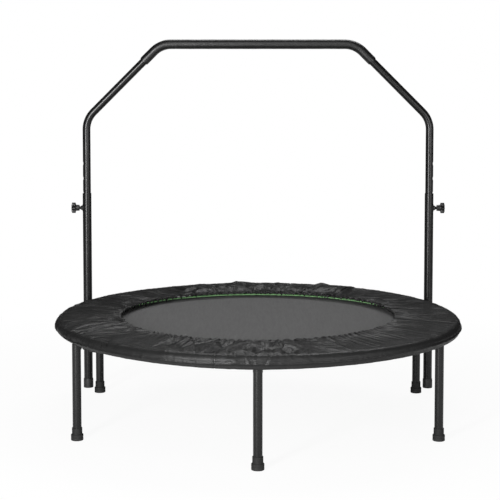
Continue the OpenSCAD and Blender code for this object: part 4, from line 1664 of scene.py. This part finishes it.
cloth_frames = 24
skirt_grid = grow_folds(cloth_frames)
levels = np.percentile(skirt_grid[5:40, :, 2], (0, 5, 50, 95, 100))
print("skirt heights in mm:", np.round(1000 * levels, 1))

# %% [markdown]
# ### Seams
#
# The skirt is sewn from four panels. At each seam the cloth dips into a narrow groove between two raised
# edges. Moving single columns of the grid along the cloth's own normal is enough for that.

# %% Seams
SEAM_TURNS = [math.radians(a) % (2 * math.pi) for a in (-100.8, -10.8, 79.2, 169.2)]
seam_columns = [round(a / (2 * math.pi) * skirt_around) % skirt_around for a in SEAM_TURNS]
seam_depth = 0.0024
seam_edge = 0.0006
down_slope = np.gradient(skirt_grid, axis=0)
along_turn = np.roll(skirt_grid, -1, axis=1) - np.roll(skirt_grid, 1, axis=1)
facing = np.cross(down_slope, along_turn)
facing = facing / np.linalg.norm(facing, axis=-1, keepdims=True)
skirt_sewn = skirt_grid.copy()
for column in seam_columns:
    skirt_sewn[:, column] -= seam_depth * facing[:, column]
    for next_to in ((column - 1) % skirt_around, (column + 1) % skirt_around):
        skirt_sewn[:, next_to] += seam_edge * facing[:, next_to]
print("seams:", len(seam_columns))

# %% [markdown]
# ### Hems
#
# Both edges are turned in round an elastic cord and sewn down. Each hem is a few more rows of the same grid,
# rolled about a line beside the edge, with a radius that puckers from stitch to stitch. A bevelled curve
# would leave a gap to the cloth. The line itself is kept for the cord.

# %% Hems
up = np.array([0, 0, 1.0])
outwards = np.stack([np.cos(turns), np.sin(turns), np.zeros_like(turns)], -1)


def rolled_rows(edge_row, start_angle, sweep, count, radius):
    """Rows that roll a hem round its elastic from an edge row on, and the line of the elastic."""
    pucker = 1 + 0.10 * soft_noise(1, skirt_around, 1, 4, 41)[0]
    r = (radius * pucker)[:, None]
    first = math.radians(start_angle)
    centre = edge_row - r * (math.cos(first) * outwards + math.sin(first) * up)
    angles = [first + math.radians(sweep) * i / count for i in range(1, count + 1)]
    return np.array([centre + r * (math.cos(a) * outwards + math.sin(a) * up) for a in angles]), centre


roll_sweep = 285
outer_roll_radius = 0.0020
inner_roll, inner_centre = rolled_rows(skirt_sewn[0], 90, roll_sweep, 9, roll_radius)
outer_roll, outer_centre = rolled_rows(skirt_sewn[-1], 0, -roll_sweep, 8, outer_roll_radius)
skirt_whole = np.concatenate([inner_roll[::-1], skirt_sewn, outer_roll])
whole_rows = len(skirt_whole)
print("skirt rows with hems:", whole_rows)

# %% [markdown]
# ### The skirt as one sheet
#
# The grid is cut open along one line, so that its UV map in metres can run round without a jump back, and the
# doubled points are merged again once the map is there. The map follows the threads for the weave.

# %% The skirt's panels
mean_radius = 0.52
lengths = np.concatenate([[0], np.cumsum(np.linalg.norm(np.diff(skirt_whole[:, 0], axis=0), axis=1))])
points = np.concatenate([skirt_whole, skirt_whole[:, :1]], axis=1)
columns = skirt_around + 1
coordinates = [(2 * math.pi * mean_radius * k / skirt_around, s) for s in lengths for k in range(columns)]
skirt = add_strip("gathered_skirt", points.reshape(-1, 3), grid_faces(whole_rows, columns), coordinates)
merge(skirt, 1e-6, outwards=False)
dress(skirt, SKIRT_CLOTH, "frame", ["skirt_top", "skirt_band"])
print("skirt of", len(skirt.data.polygons), "faces")

# %% [markdown]
# ### Stitches of the skirt
#
# A row of stitches runs on each side of every seam, and one more runs round the band above its hem. The rows
# follow columns and rows of the folded grid, so the thread dips and rises with the cloth.

# %% Stitches of the skirt
thread = 0.0005
stitch_lift = 0.3 * thread
seam_rows = []
for column in seam_columns:
    for step in (-2, 2):
        next_to = (column + step) % skirt_around
        seam_rows.append(skirt_grid[1:, next_to] + stitch_lift * facing[1:, next_to])
hem_row = skirt_rows - 5
band_row = skirt_grid[hem_row] + stitch_lift * facing[hem_row]
seam_stitches = stitches("skirt_seam_stitches", seam_rows, 0.0034, 0.0028, thread, BLACK_THREAD)
hem_stitches = stitches("skirt_hem_stitches", [band_row], 0.0042, 0.0034, thread, BLACK_THREAD, True)
for piece in (seam_stitches, hem_stitches):
    dress(piece, BLACK_THREAD, "frame", [])
print("stitch rows:", len(seam_rows) + 1)

# %% [markdown]
# ### Elastic cords
#
# A braided elastic cord lies in each hem and draws it in. It follows the middle of the rolled rows, and it is
# drawn thinner than it is at rest, as a stretched cord is.

# %% Elastic cords
cord_radius = elastic_radius * 0.6
for side, centre in (("inner", inner_centre), ("outer", outer_centre)):
    cord = wire(f"{side}_elastic_cord", [[tuple(p) for p in centre]], cord_radius, ELASTIC, 8, True)
    dress(cord, ELASTIC, "frame", [f"skirt_{side}_elastic"])
print("elastic cords in both hems")
